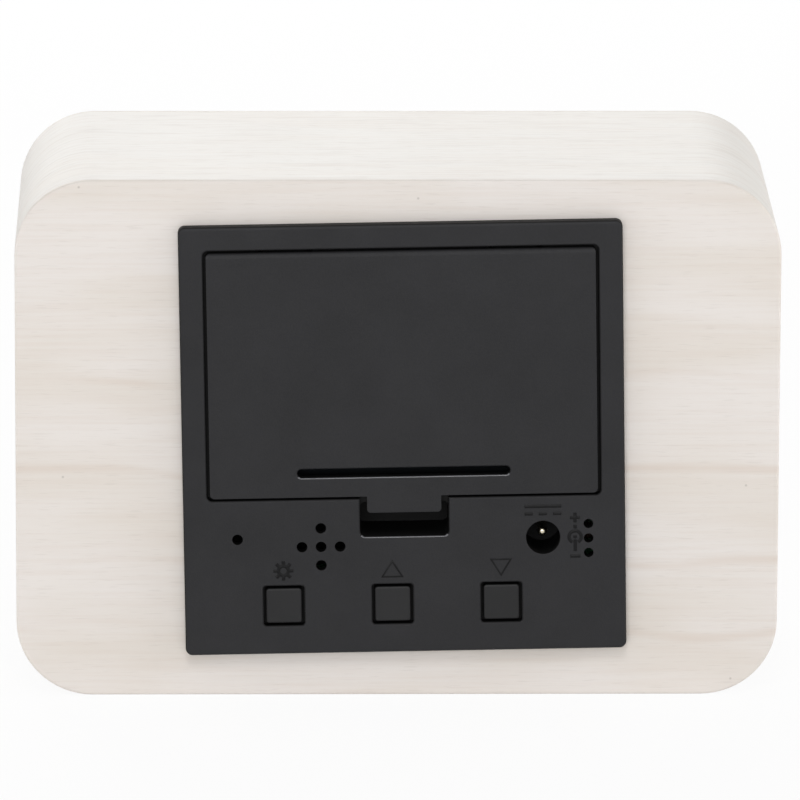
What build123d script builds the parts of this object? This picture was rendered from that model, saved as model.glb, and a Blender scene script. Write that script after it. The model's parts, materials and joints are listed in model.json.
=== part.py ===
"""Wooden digital clock: a veneered block with a black service panel let into its back.

The clock stands on its base at z = 0. Its display side faces -Y and its service panel faces +Y.
Lengths are in millimetres and angles in degrees.
"""

import os
from math import cos, pi, radians, sin, sqrt, tan

from build123d import *

os.makedirs("parts", exist_ok=True)

# Every cut runs past the face that it opens by this much
overrun = 0.5

# Veneered block
body_width = 100.0
body_height = 69.2
body_depth = 45.0
body_corner_radius = 10.0
veneer_thickness = 0.6
edge_softening = 0.3
strip_joint_gap = 0.15
strip_joint_inset = 12.0
front_wall_thickness = 6.0
pocket_clearance = 0.3
pocket_corner_radius = 3.0

# Place of the service panel on the back, seen from behind: it sits a little off centre and askew
panel_shift_right = 0.7
panel_shift_up = 0.4
panel_skew = 1.0

# Three cells side by side, with their contacts
cell_diameter = 10.5
cell_length = 44.5
cell_nub_diameter = 3.8
cell_nub_height = 0.8
cell_edge_radius = 0.4
cell_count = 3
cell_row_gap = 0.2
jacket_thickness = 0.12
jacket_gap = 0.02
jacket_end_inset = 0.5
contact_thickness = 0.4
contact_height = 8.0
contact_width = 7.6
contact_gap = 0.1
contact_corner_radius = 0.8
tail_width = 2.4
tail_length = 1.5
tail_gap = 0.1
spring_room = 3.6
spring_wire = 0.6
spring_base_diameter = 7.0
spring_tip_diameter = 4.6
spring_turns = 2.5
spring_samples_per_quarter = 12

# Service panel and its battery bay
panel_thickness = 1.6
panel_rim = 3.15
panel_lower_field = 20.8
panel_corner_radius = 0.9
panel_edge_round = 0.45
edge_break = 0.15
adhesive_thickness = 0.2
adhesive_width = 0.8
adhesive_inset = 0.3
lid_side_ledge = 1.3
lid_end_ledge = 0.575
opening_corner_radius = 0.7
bay_end_clearance = 0.25
bay_front_gap = 0.8
bay_floor_gap = 0.3
bay_floor_thickness = 1.2
bay_wall_lap = 0.8
bay_rib_thickness = 0.8
bay_rib_height = 2.6
latch_notch_width = 11.65
latch_notch_reach = 5.15
latch_notch_corner_radius = 0.7
latch_well_depth = 7.0
latch_well_wall = 1.0

# Battery lid
lid_side_gap = 0.42
lid_end_gap = 0.33
lid_seat_gap = 0.05
lid_corner_radius = 0.6
lid_slot_length = 27.9
lid_slot_width = 1.2
lid_slot_rise = 3.2
lid_tab_width = 9.7
lid_tab_length = 2.2
lid_tab_corner_radius = 0.5
lid_rib_thickness = 0.8
lid_rib_height = 0.55
lid_rib_length = 20.0
lid_rib_offset = 12.0
tongue_width = 6.0
tongue_offset = 15.0
tongue_reach = 0.7
tongue_thickness = 1.0
tongue_rim_gap = 0.3
tongue_root = 1.3
tongue_slot_gap = 0.4
tongue_slot_depth = 2.8
bead_width = 4.0
bead_offset = 10.5
bead_reach = 0.2
bead_thickness = 0.6

# Buttons and their switches
button_left_inset = 13.0
button_right_inset = 16.36
button_row_rise = 6.55
button_hole = 5.4
button_hole_corner_radius = 0.4
button_gap = 0.35
button_recess = 0.1
button_edge_round = 0.25
button_flange_lip = 0.45
button_flange_thickness = 0.8
button_flange_gap = 0.15
button_stem_diameter = 3.0
button_travel = 0.4
switch_size = 6.0
switch_height = 3.5
plunger_diameter = 3.4
plunger_rise = 1.5
plunger_sunk = 1.0
plunger_gap = 0.1

# Control board behind the panel, and what it carries
board_thickness = 1.6
board_standoff = 9.0
board_side_gap = 0.6
board_bay_gap = 0.6
boss_diameter = 4.0
boss_inset = 2.6
upper_boss_jack_gap = 5.35
control_screw_diameter = 1.6
control_screw_length = 6.0
control_screw_head_diameter = 3.2
control_screw_head_height = 1.2
screw_gap = 0.05
screw_hole_clearance = 0.4
screw_recess_width = 0.5
screw_recess_depth = 0.6
screw_recess_share = 0.6
sound_hole_diameter = 1.4
microphone_inset = 7.05
microphone_rise = 15.6
microphone_diameter = 6.0
microphone_height = 4.5
microphone_face_diameter = 4.0
microphone_face_depth = 0.3
buzzer_inset = 17.98
buzzer_rise = 14.45
buzzer_hole_spacing = 2.5
buzzer_ring_holes = 4
buzzer_diameter = 8.0
buzzer_height = 4.0
buzzer_port_diameter = 2.0
buzzer_port_depth = 1.0
vent_inset = 4.85
vent_rise = 15.0
vent_pitch = 1.96
vent_diameter = 1.25
vent_count = 3
thermistor_diameter = 2.2
thermistor_front_gap = 1.4
thermistor_lead_diameter = 0.5
thermistor_lead_spacing = 1.2
dc_inset = 10.8
dc_rise = 15.2
dc_hole_diameter = 4.5
dc_housing_size = 6.4
dc_housing_gap = 0.2
dc_bore_diameter = 5.2
dc_housing_floor_thickness = 1.6
dc_pin_diameter = 1.3
dc_pin_recess = 1.2
dc_pin_tip_round = 0.55
dc_shank_diameter = 0.9
dc_shank_gap = 0.02
capacitor_diameter = 5.0
capacitor_height = 7.0
capacitor_edge_round = 0.4
capacitor_inset = 13.0
capacitor_rise = 11.0

# Display behind the front veneer
display_side_margin = 2.75
display_end_margin = 2.4
display_gap = 0.25
diffuser_thickness = 0.3
digit_count = 4
digit_height = 14.2
digit_width = 7.4
digit_pitch = 11.8
segment_width = 1.6
segment_gap = 0.35
colon_space = 2.0
colon_dot_diameter = 1.8
colon_dot_rise = 3.0
led_length = 1.6
led_width = 0.8
led_height = 0.6

# Display board and what it carries
display_board_gap = 0.8
display_screw_inset = 4.2
display_screw_diameter = 2.0
display_screw_length = 5.6
display_screw_head_diameter = 3.8
display_screw_head_height = 1.4
chip_length = 12.8
chip_width = 7.5
chip_height = 2.3
chip_gap = 0.1
chip_rise = -7.5
chip_lead_count = 10
chip_lead_pitch = 1.27
chip_lead_width = 0.4
chip_lead_thickness = 0.25
chip_lead_foot = 0.8
chip_lead_out = 0.5
crystal_diameter = 2.0
crystal_length = 6.0
crystal_edge_round = 0.3
crystal_offset = 15.0
crystal_rise = -7.5
coin_diameter = 20.0
coin_thickness = 3.2
coin_edge_round = 0.4
coin_screw_across = 10.4
coin_screw_down = 10.2
coin_gap = 0.2
coin_holder_wall = 1.2
coin_holder_floor_thickness = 1.0
coin_holder_lip = 0.6
coin_slot_width = 8.0

# Wiring
header_length = 10.0
header_width = 4.5
header_height = 5.0
control_header_rise = 10.0
display_header_rise = -16.0
ribbon_width = 7.6
ribbon_thickness = 0.9
ribbon_lead_in_share = 0.3
arc_share = 0.45
lead_diameter = 1.2
lead_depth = 7.0
lead_board_inset = 4.0
red_lead_rise = 13.5
black_lead_rise = 7.5


# Block, worked out
panel_stand = panel_thickness + adhesive_thickness
total_depth = body_depth + panel_stand
core_width = body_width - 2 * veneer_thickness
core_height = body_height - 2 * veneer_thickness
core_depth = body_depth - 2 * veneer_thickness
core_corner_radius = body_corner_radius - veneer_thickness
base_strip_width = body_width - 2 * strip_joint_inset
pocket_depth = body_depth - veneer_thickness - front_wall_thickness

# Battery bay, lid opening and panel, worked out from the cells
cell_pitch = cell_diameter + cell_row_gap
bay_length = 2 * contact_thickness + contact_gap + cell_length + spring_room
bay_height = cell_count * cell_diameter + (cell_count - 1) * cell_row_gap + 2 * bay_end_clearance
bay_depth = bay_front_gap + cell_diameter + bay_floor_gap
bay_floor_back = panel_thickness + bay_depth + bay_floor_thickness
opening_length = bay_length + 2 * lid_side_ledge
opening_height = bay_height + 2 * lid_end_ledge
panel_width = opening_length + 2 * panel_rim
panel_height = panel_rim + opening_height + panel_lower_field
panel_bottom = -panel_height / 2
opening_top = panel_height / 2 - panel_rim
opening_bottom = opening_top - opening_height
opening_middle = (opening_top + opening_bottom) / 2

# The pocket clears everything behind the panel, turned by the skew
module_inset = panel_rim - bay_wall_lap
module_width = panel_width - 2 * module_inset
module_height = panel_height - 2 * module_inset
skew_cos = cos(radians(panel_skew))
skew_sin = sin(radians(panel_skew))
pocket_width = module_width * skew_cos + module_height * skew_sin + 2 * pocket_clearance
pocket_height = module_height * skew_cos + module_width * skew_sin + 2 * pocket_clearance

# Lid, worked out: its rounded top edge is the hinge line
lid_thickness = panel_thickness - lid_seat_gap
lid_width = opening_length - 2 * lid_side_gap
lid_bottom = opening_bottom + lid_end_gap
lid_top = opening_top - lid_end_gap
lid_nose_radius = lid_thickness / 2
lid_hinge_rise = lid_top - lid_nose_radius

# Control board, worked out
board_face = panel_thickness + board_standoff
board_rear = board_face + board_thickness
board_width = module_width - 2 * board_side_gap
board_bottom = panel_bottom + module_inset
board_top = opening_bottom - bay_wall_lap - board_bay_gap
board_middle = (board_bottom + board_top) / 2
panel_left = -panel_width / 2
panel_right = panel_width / 2
button_row = panel_bottom + button_row_rise
button_offsets = {
    "set": panel_left + button_left_inset,
    "up": (button_left_inset - button_right_inset) / 2,
    "down": panel_right - button_right_inset,
}
microphone_place = (panel_left + microphone_inset, panel_bottom + microphone_rise)
buzzer_place = (panel_left + buzzer_inset, panel_bottom + buzzer_rise)
vent_place = (panel_right - vent_inset, panel_bottom + vent_rise)
dc_offset = panel_right - dc_inset
dc_place = (dc_offset, panel_bottom + dc_rise)
boss_places = [
    (boss_inset - board_width / 2, board_bottom + boss_inset),
    (board_width / 2 - boss_inset, board_bottom + boss_inset),
    (dc_offset - dc_housing_size / 2 - upper_boss_jack_gap, board_top - boss_inset),
]
plunger_top = board_face - switch_height - plunger_rise

# Display, worked out from its digits, and its board
display_width = (digit_count - 1) * digit_pitch + colon_space + digit_width + 2 * display_side_margin
display_height = digit_height + 2 * display_end_margin
display_board_width = pocket_width - 2 * display_board_gap
display_board_height = pocket_height - 2 * display_board_gap
display_screw_across = display_board_width / 2 - display_screw_inset
display_screw_up = display_board_height / 2 - display_screw_inset
display_screw_places = [
    (side * display_screw_across, end * display_screw_up)
    for side in (-1, 1)
    for end in (-1, 1)
]

# The front and the back of the block, each seen from outside, and the panel's outer face
front = Plane(origin=(0, -total_depth / 2, body_height / 2), x_dir=(1, 0, 0), z_dir=(0, -1, 0))
back = Plane(origin=(0, total_depth / 2 - panel_stand, body_height / 2), x_dir=(-1, 0, 0), z_dir=(0, 1, 0))
panel = Plane(
    origin=back.from_local_coords((panel_shift_right, panel_shift_up, panel_stand)),
    x_dir=(-skew_cos, 0, skew_sin),
    z_dir=(0, 1, 0),
)


def behind_front(depth):
    """The plane this deep behind the front face, facing the front."""
    return front.offset(-depth)


def behind_panel(depth):
    """The plane this deep behind the panel's outer face, facing out of the back."""
    return panel.offset(-depth)


def above_pocket_floor(height):
    """The plane this far behind the pocket's floor, centred on the pocket and facing the back."""
    origin = back.from_local_coords((panel_shift_right, panel_shift_up, height - pocket_depth))
    return Plane(origin=origin, x_dir=back.x_dir, z_dir=back.z_dir)


def panel_section(along, rise=0, depth=0, turned=False):
    """A plane square to the panel's width: x runs up the panel and y out of it, or both turned round."""
    origin = panel.from_local_coords((along, rise, -depth))
    if turned:
        return Plane(origin=origin, x_dir=-panel.y_dir, z_dir=-panel.x_dir)
    return Plane(origin=origin, x_dir=panel.y_dir, z_dir=panel.x_dir)


def row_rise(row):
    """The height of a cell's axis on the panel, counted from the top row."""
    return opening_middle + ((cell_count - 1) / 2 - row) * cell_pitch


def spring_side(row):
    """The end of the bay where a row has its spring, because every second cell points the other way."""
    return 1 if row % 2 == 0 else -1


def rounded_corner_radii(points):
    """The radius of each bend of a lead: as large as its two runs allow."""
    vectors = [Vector(*point) for point in points]
    radii = []
    for before, corner, after in zip(vectors, vectors[1:], vectors[2:]):
        turn = (corner - before).get_angle(after - corner)
        shorter = min((corner - before).length, (after - corner).length)
        radii.append(arc_share * shorter / tan(radians(turn) / 2))
    return radii


def add_screws(plane, places, head_side, diameter, length, head_diameter, head_height):
    """Pan-head screws with a cross recess, their heads on the side of the plane that head_side names."""
    with BuildSketch(plane) as heads:
        with Locations(*places):
            Circle(head_diameter / 2)
    extrude(heads.sketch, amount=head_side * head_height)
    with BuildSketch(plane) as shanks:
        with Locations(*places):
            Circle(diameter / 2)
    extrude(shanks.sketch, amount=-head_side * length)
    with BuildSketch(plane.offset(head_side * head_height)) as recesses:
        with Locations(*places):
            Rectangle(head_diameter * screw_recess_share, screw_recess_width)
            Rectangle(screw_recess_width, head_diameter * screw_recess_share)
    extrude(recesses.sketch, amount=-head_side * screw_recess_depth, mode=Mode.SUBTRACT)


pieces = {}

# Core of the block: a pocket from the back, a window for the display and pilot holes for its board
with BuildPart() as body_core:
    with BuildSketch(behind_front(veneer_thickness)):
        RectangleRounded(core_width, core_height, core_corner_radius)
    extrude(amount=-core_depth)
    with BuildSketch(above_pocket_floor(0)):
        RectangleRounded(pocket_width, pocket_height, pocket_corner_radius)
    extrude(amount=pocket_depth, mode=Mode.SUBTRACT)
    with BuildSketch(front):
        Rectangle(display_width + 2 * display_gap, display_height + 2 * display_gap)
    extrude(amount=-(veneer_thickness + front_wall_thickness + overrun), mode=Mode.SUBTRACT)
    with BuildSketch(above_pocket_floor(0)):
        with Locations(*display_screw_places):
            Circle(display_screw_diameter / 2 + screw_gap)
    extrude(amount=-(display_screw_length - board_thickness + overrun), mode=Mode.SUBTRACT)
pieces["body_core"] = body_core

# Veneer strip over the top and down both sides, and a shorter one that it meets under the base
with BuildPart() as edge_veneer:
    with BuildSketch(behind_front(veneer_thickness)):
        RectangleRounded(body_width, body_height, body_corner_radius)
        RectangleRounded(core_width, core_height, core_corner_radius, mode=Mode.SUBTRACT)
        with Locations((0, -body_height / 2)):
            Rectangle(
                base_strip_width + 2 * strip_joint_gap,
                2 * (veneer_thickness + overrun),
                mode=Mode.SUBTRACT,
            )
    extrude(amount=-core_depth)
pieces["edge_veneer"] = edge_veneer

with BuildPart() as base_veneer:
    with BuildSketch(behind_front(veneer_thickness)):
        with Locations((0, -body_height / 2)):
            Rectangle(base_strip_width, veneer_thickness, align=(Align.CENTER, Align.MIN))
    extrude(amount=-core_depth)
pieces["base_veneer"] = base_veneer

# Front and back sheets, laid over the strips' ends and softened round their outlines
with BuildPart() as front_veneer:
    with BuildSketch(front):
        RectangleRounded(body_width, body_height, body_corner_radius)
    extrude(amount=-veneer_thickness)
    fillet(front_veneer.faces().sort_by(Axis.Y)[0].edges(), radius=edge_softening)
pieces["front_veneer"] = front_veneer

with BuildPart() as back_veneer:
    with BuildSketch(back):
        RectangleRounded(body_width, body_height, body_corner_radius)
    extrude(amount=-veneer_thickness)
    fillet(back_veneer.faces().sort_by(Axis.Y)[-1].edges(), radius=edge_softening)
    with BuildSketch(back):
        with Locations((panel_shift_right, panel_shift_up)):
            RectangleRounded(pocket_width, pocket_height, pocket_corner_radius)
    extrude(amount=-veneer_thickness, mode=Mode.SUBTRACT)
pieces["back_veneer"] = back_veneer

# Adhesive ring under the panel's rim
with BuildPart() as panel_adhesive:
    with BuildSketch(behind_panel(panel_thickness)):
        Rectangle(panel_width - 2 * adhesive_inset, panel_height - 2 * adhesive_inset)
        Rectangle(
            panel_width - 2 * (adhesive_inset + adhesive_width),
            panel_height - 2 * (adhesive_inset + adhesive_width),
            mode=Mode.SUBTRACT,
        )
    extrude(amount=-adhesive_thickness)
pieces["panel_adhesive"] = panel_adhesive

# Service panel: one moulding with the battery bay, the latch well and the bosses behind it
last_row = cell_count - 1
tail_rows = {"positive": (0, -spring_side(0)), "negative": (last_row, spring_side(last_row))}
with BuildPart() as rear_panel:
    with BuildSketch(behind_panel(panel_thickness)):
        RectangleRounded(panel_width, panel_height, panel_corner_radius)
    extrude(amount=panel_thickness)
    fillet(rear_panel.faces().sort_by(Axis.Y)[-1].edges(), radius=panel_edge_round)
    with BuildSketch(behind_panel(panel_thickness)):
        with Locations((0, opening_middle)):
            RectangleRounded(
                opening_length + 2 * bay_wall_lap,
                opening_height + 2 * bay_wall_lap,
                pocket_corner_radius,
            )
    extrude(amount=-(bay_depth + bay_floor_thickness))
    with BuildSketch(behind_panel(panel_thickness)):
        with Locations((0, opening_middle)):
            Rectangle(bay_length, bay_height)
    extrude(amount=-bay_depth, mode=Mode.SUBTRACT)
    with BuildSketch(behind_panel(panel_thickness + bay_depth)):
        for row in range(cell_count - 1):
            with Locations((0, (row_rise(row) + row_rise(row + 1)) / 2)):
                Rectangle(bay_length - 2 * spring_room, bay_rib_thickness)
    extrude(amount=bay_rib_height)
    with BuildSketch(behind_panel(panel_thickness)):
        with Locations((0, opening_bottom - (latch_notch_reach + latch_well_wall) / 2)):
            Rectangle(latch_notch_width + 2 * latch_well_wall, latch_notch_reach + latch_well_wall)
    extrude(amount=-(latch_well_depth + latch_well_wall))
    with BuildSketch(behind_panel(board_face)):
        with Locations(*boss_places):
            Circle(boss_diameter / 2)
    extrude(amount=board_standoff)
    with BuildSketch(behind_panel(board_face)):
        with Locations(*boss_places):
            Circle(control_screw_diameter / 2 + screw_gap)
    extrude(amount=control_screw_length - board_thickness + overrun, mode=Mode.SUBTRACT)
    with BuildSketch(panel):
        with Locations((0, opening_middle)):
            RectangleRounded(opening_length, opening_height, opening_corner_radius)
        with Locations((0, opening_bottom + latch_notch_corner_radius)):
            RectangleRounded(
                latch_notch_width,
                latch_notch_reach + latch_notch_corner_radius,
                latch_notch_corner_radius,
                align=(Align.CENTER, Align.MAX),
            )
        for offset_x in button_offsets.values():
            with Locations((offset_x, button_row)):
                RectangleRounded(button_hole, button_hole, button_hole_corner_radius)
    extrude(amount=-panel_thickness, mode=Mode.SUBTRACT)
    chamfer(rear_panel.faces().sort_by(Axis.Y)[-1].inner_wires().edges(), length=edge_break)
    with BuildSketch(behind_panel(panel_thickness)):
        with Locations((0, opening_bottom - bay_wall_lap)):
            RectangleRounded(
                latch_notch_width,
                latch_notch_reach - bay_wall_lap,
                latch_notch_corner_radius,
                align=(Align.CENTER, Align.MAX),
            )
    extrude(amount=-latch_well_depth, mode=Mode.SUBTRACT)
    with BuildSketch(behind_panel(panel_thickness)):
        with Locations((-tongue_offset, opening_top), (tongue_offset, opening_top)):
            Rectangle(tongue_width + 2 * tongue_slot_gap, 2 * (bay_wall_lap + overrun))
    extrude(amount=-tongue_slot_depth, mode=Mode.SUBTRACT)
    with BuildSketch(panel):
        with Locations(dc_place):
            Circle(dc_hole_diameter / 2)
        with Locations(microphone_place, buzzer_place):
            Circle(sound_hole_diameter / 2)
        with Locations(buzzer_place):
            with PolarLocations(buzzer_hole_spacing, buzzer_ring_holes):
                Circle(sound_hole_diameter / 2)
        with Locations(vent_place):
            with GridLocations(0, vent_pitch, 1, vent_count):
                Circle(vent_diameter / 2)
    extrude(amount=-panel_thickness, mode=Mode.SUBTRACT)
    with BuildSketch(behind_panel(bay_floor_back)):
        for row, side in tail_rows.values():
            with Locations((side * (bay_length - contact_thickness) / 2, row_rise(row))):
                Rectangle(contact_thickness + 2 * tail_gap, tail_width + 2 * tail_gap)
    extrude(amount=bay_floor_thickness + overrun, mode=Mode.SUBTRACT)
pieces["rear_panel"] = rear_panel

# Battery lid: a round-nosed plate with a flex slot, a latch tab, two hook tongues and two snap beads
with BuildPart() as battery_lid:
    with BuildSketch(panel_section(-lid_width / 2)):
        with Locations((lid_hinge_rise, 0)):
            Rectangle(
                lid_hinge_rise - lid_bottom + lid_tab_length,
                lid_thickness,
                align=(Align.MAX, Align.MAX),
            )
        with Locations((lid_hinge_rise, -lid_nose_radius)):
            Circle(lid_nose_radius)
    extrude(amount=lid_width)
    with BuildSketch(behind_panel(lid_thickness)):
        with Locations((0, (lid_top + lid_bottom) / 2)):
            RectangleRounded(lid_width, lid_top - lid_bottom, lid_corner_radius)
        with Locations((0, lid_bottom + lid_tab_corner_radius)):
            RectangleRounded(
                lid_tab_width,
                lid_tab_length + lid_tab_corner_radius,
                lid_tab_corner_radius,
                align=(Align.CENTER, Align.MAX),
            )
        with Locations((0, lid_bottom + lid_slot_rise)):
            SlotOverall(lid_slot_length, lid_slot_width, mode=Mode.SUBTRACT)
    extrude(amount=lid_thickness, mode=Mode.INTERSECT)
    chamfer(battery_lid.faces().sort_by(Axis.Y)[-1].inner_wires().edges(), length=edge_break)
    for side in (-1, 1):
        with BuildSketch(panel_section(side * tongue_offset)):
            Polygon(
                (lid_hinge_rise - tongue_root, -lid_nose_radius),
                (lid_hinge_rise - tongue_root, -(panel_thickness + tongue_rim_gap + tongue_thickness)),
                (opening_top + tongue_reach, -(panel_thickness + tongue_rim_gap + tongue_thickness)),
                (opening_top + tongue_reach, -(panel_thickness + tongue_rim_gap)),
                (lid_hinge_rise, -(panel_thickness + tongue_rim_gap)),
                (lid_hinge_rise, -lid_nose_radius),
            )
        extrude(amount=tongue_width / 2, both=True)
    with BuildSketch(behind_panel(lid_thickness)):
        with Locations((-bead_offset, lid_bottom), (bead_offset, lid_bottom)):
            Rectangle(bead_width, 2 * bead_reach)
    extrude(amount=bead_thickness)
    with BuildSketch(behind_panel(lid_thickness)):
        with Locations((-lid_rib_offset, opening_middle), (lid_rib_offset, opening_middle)):
            Rectangle(lid_rib_thickness, lid_rib_length)
    extrude(amount=-lid_rib_height)
pieces["battery_lid"] = battery_lid

# Buttons, each with the plunger of the switch under it
flange_front = panel_thickness + button_flange_gap
cap_size = button_hole - 2 * button_gap
flange_size = button_hole + 2 * button_flange_lip
for name, offset_x in button_offsets.items():
    with BuildPart() as button:
        with BuildSketch(behind_panel(button_recess)):
            with Locations((offset_x, button_row)):
                RectangleRounded(cap_size, cap_size, button_hole_corner_radius)
        extrude(amount=-(flange_front - button_recess))
        fillet(button.faces().sort_by(Axis.Y)[-1].edges(), radius=button_edge_round)
        with BuildSketch(behind_panel(flange_front)):
            with Locations((offset_x, button_row)):
                RectangleRounded(flange_size, flange_size, button_hole_corner_radius)
        extrude(amount=-button_flange_thickness)
        with BuildSketch(behind_panel(flange_front)):
            with Locations((offset_x, button_row)):
                Circle(button_stem_diameter / 2)
        extrude(amount=-(plunger_top - flange_front))
    pieces[f"{name}_button"] = button
    with BuildPart() as plunger:
        with BuildSketch(behind_panel(plunger_top)):
            with Locations((offset_x, button_row)):
                Circle(plunger_diameter / 2)
        extrude(amount=-(plunger_rise + plunger_sunk))
    pieces[f"{name}_plunger"] = plunger

# Switch bases on the control board
with BuildPart() as switch_bases:
    with BuildSketch(behind_panel(board_face)):
        for offset_x in button_offsets.values():
            with Locations((offset_x, button_row)):
                Rectangle(switch_size, switch_size)
    extrude(amount=switch_height)
    with BuildSketch(behind_panel(board_face - switch_height)):
        for offset_x in button_offsets.values():
            with Locations((offset_x, button_row)):
                Circle(plunger_diameter / 2 + plunger_gap)
    extrude(amount=-(plunger_sunk + button_travel + plunger_gap), mode=Mode.SUBTRACT)
pieces["switch_bases"] = switch_bases

with BuildPart() as control_board:
    with BuildSketch(behind_panel(board_rear)):
        with Locations((0, board_middle)):
            Rectangle(board_width, board_top - board_bottom)
        with Locations(*boss_places):
            Circle((control_screw_diameter + screw_hole_clearance) / 2, mode=Mode.SUBTRACT)
    extrude(amount=board_thickness)
pieces["control_board"] = control_board

with BuildPart() as control_screws:
    add_screws(
        behind_panel(board_rear),
        boss_places,
        -1,
        control_screw_diameter,
        control_screw_length,
        control_screw_head_diameter,
        control_screw_head_height,
    )
pieces["control_screws"] = control_screws

# Barrel jack: housing with a bore for the plug, and the centre pin on its floor
dc_mouth = panel_thickness + dc_housing_gap
dc_floor = board_face - dc_housing_floor_thickness
with BuildPart() as dc_jack_housing:
    with BuildSketch(behind_panel(board_face)):
        with Locations(dc_place):
            Rectangle(dc_housing_size, dc_housing_size)
            Circle(dc_shank_diameter / 2 + dc_shank_gap, mode=Mode.SUBTRACT)
    extrude(amount=board_face - dc_mouth)
    with BuildSketch(behind_panel(dc_mouth)):
        with Locations(dc_place):
            Circle(dc_bore_diameter / 2)
    extrude(amount=-(dc_floor - dc_mouth), mode=Mode.SUBTRACT)
pieces["dc_jack_housing"] = dc_jack_housing

with BuildPart() as dc_jack_pin:
    with BuildSketch(behind_panel(dc_floor)):
        with Locations(dc_place):
            Circle(dc_pin_diameter / 2)
    extrude(amount=dc_floor - dc_mouth - dc_pin_recess)
    fillet(dc_jack_pin.faces().sort_by(Axis.Y)[-1].edges(), radius=dc_pin_tip_round)
    with BuildSketch(behind_panel(dc_floor)):
        with Locations(dc_place):
            Circle(dc_shank_diameter / 2)
    extrude(amount=-dc_housing_floor_thickness)
pieces["dc_jack_pin"] = dc_jack_pin

with BuildPart() as buzzer:
    with BuildSketch(behind_panel(board_face)):
        with Locations(buzzer_place):
            Circle(buzzer_diameter / 2)
    extrude(amount=buzzer_height)
    with BuildSketch(behind_panel(board_face - buzzer_height)):
        with Locations(buzzer_place):
            Circle(buzzer_port_diameter / 2)
    extrude(amount=-buzzer_port_depth, mode=Mode.SUBTRACT)
pieces["buzzer"] = buzzer

with BuildPart() as microphone:
    with BuildSketch(behind_panel(board_face)):
        with Locations(microphone_place):
            Circle(microphone_diameter / 2)
    extrude(amount=microphone_height)
    with BuildSketch(behind_panel(board_face - microphone_height)):
        with Locations(microphone_place):
            Circle(microphone_face_diameter / 2)
    extrude(amount=-microphone_face_depth, mode=Mode.SUBTRACT)
pieces["microphone"] = microphone

# Thermistor: a bead behind the vents on two leads from the board
bead_middle = panel_thickness + thermistor_front_gap + thermistor_diameter / 2
with BuildPart() as thermistor:
    with BuildSketch(behind_panel(board_face)):
        with Locations(vent_place):
            with GridLocations(0, thermistor_lead_spacing, 1, 2):
                Circle(thermistor_lead_diameter / 2)
    extrude(amount=board_face - bead_middle)
    with Locations(behind_panel(bead_middle)):
        with Locations((*vent_place, 0)):
            Sphere(thermistor_diameter / 2)
pieces["thermistor"] = thermistor

with BuildPart() as smoothing_capacitor:
    with BuildSketch(behind_panel(board_rear)):
        with Locations((capacitor_inset - board_width / 2, panel_bottom + capacitor_rise)):
            Circle(capacitor_diameter / 2)
    extrude(amount=-capacitor_height)
    fillet(smoothing_capacitor.faces().sort_by(Axis.Y)[0].edges(), radius=capacitor_edge_round)
pieces["smoothing_capacitor"] = smoothing_capacitor

# Cells: steel cans with a nub, every second one turned round, each in a printed jacket
cell_axis_depth = panel_thickness + bay_front_gap + cell_diameter / 2
can_diameter = cell_diameter - 2 * (jacket_thickness + jacket_gap)
can_length = cell_length - cell_nub_height
nub_end = bay_length / 2 - contact_thickness - contact_gap


def cell_base(row):
    """The plane of a cell's flat end, whose z points at its nub."""
    side = spring_side(row)
    return panel_section(side * (cell_length - nub_end), row_rise(row), cell_axis_depth, side > 0)


with BuildPart() as battery_cells:
    for row in range(cell_count):
        with BuildSketch(cell_base(row)):
            Circle(can_diameter / 2)
        can = extrude(amount=can_length)
        fillet(can.edges().filter_by(GeomType.CIRCLE), radius=cell_edge_radius)
        with BuildSketch(cell_base(row)):
            Circle(cell_nub_diameter / 2)
        extrude(amount=cell_length)
pieces["battery_cells"] = battery_cells

with BuildPart() as cell_jackets:
    for row in range(cell_count):
        with BuildSketch(cell_base(row).offset(jacket_end_inset)):
            Circle(cell_diameter / 2)
            Circle(cell_diameter / 2 - jacket_thickness, mode=Mode.SUBTRACT)
        extrude(amount=can_length - 2 * jacket_end_inset)
pieces["cell_jackets"] = cell_jackets


def contact_plane(side):
    """The inner face of a contact plate at one end of the bay: its z points at the cells."""
    return panel_section(side * (bay_length / 2 - contact_thickness), 0, cell_axis_depth, side > 0)


def add_contact_plate(side, low_rise, high_rise):
    """A contact plate against an end wall of the bay, from one height on the panel to another."""
    plane = contact_plane(side)
    upright = 1 if plane.x_dir.dot(panel.y_dir) > 0 else -1
    with BuildSketch(plane) as plate:
        with Locations((upright * (low_rise + high_rise) / 2, 0)):
            RectangleRounded(high_rise - low_rise, contact_width, contact_corner_radius)
    extrude(plate.sketch, amount=-contact_thickness)


# Contacts: a plate with a solder tail for each pole, and a bridge from each spring to the next cell's nub
for pole, (row, side) in tail_rows.items():
    with BuildPart() as contact:
        add_contact_plate(side, row_rise(row) - contact_height / 2, row_rise(row) + contact_height / 2)
        with BuildSketch(behind_panel(bay_floor_back + tail_length)):
            with Locations((side * (bay_length - contact_thickness) / 2, row_rise(row))):
                Rectangle(contact_thickness, tail_width)
        extrude(amount=bay_floor_back + tail_length - cell_axis_depth)
    pieces[f"{pole}_contact"] = contact
for row in range(cell_count - 1):
    with BuildPart() as bridge:
        add_contact_plate(
            spring_side(row),
            row_rise(row + 1) - contact_height / 2,
            row_rise(row) + contact_height / 2,
        )
    pieces[f"contact_bridge_{row + 1}"] = bridge

# Conical springs, wound on biarcs of a quarter turn from each negative contact to its cell
spring_lift = spring_wire / 2 + contact_gap
spring_rise = spring_room - 2 * spring_lift
quarter_turns = round(4 * spring_turns)


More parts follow.
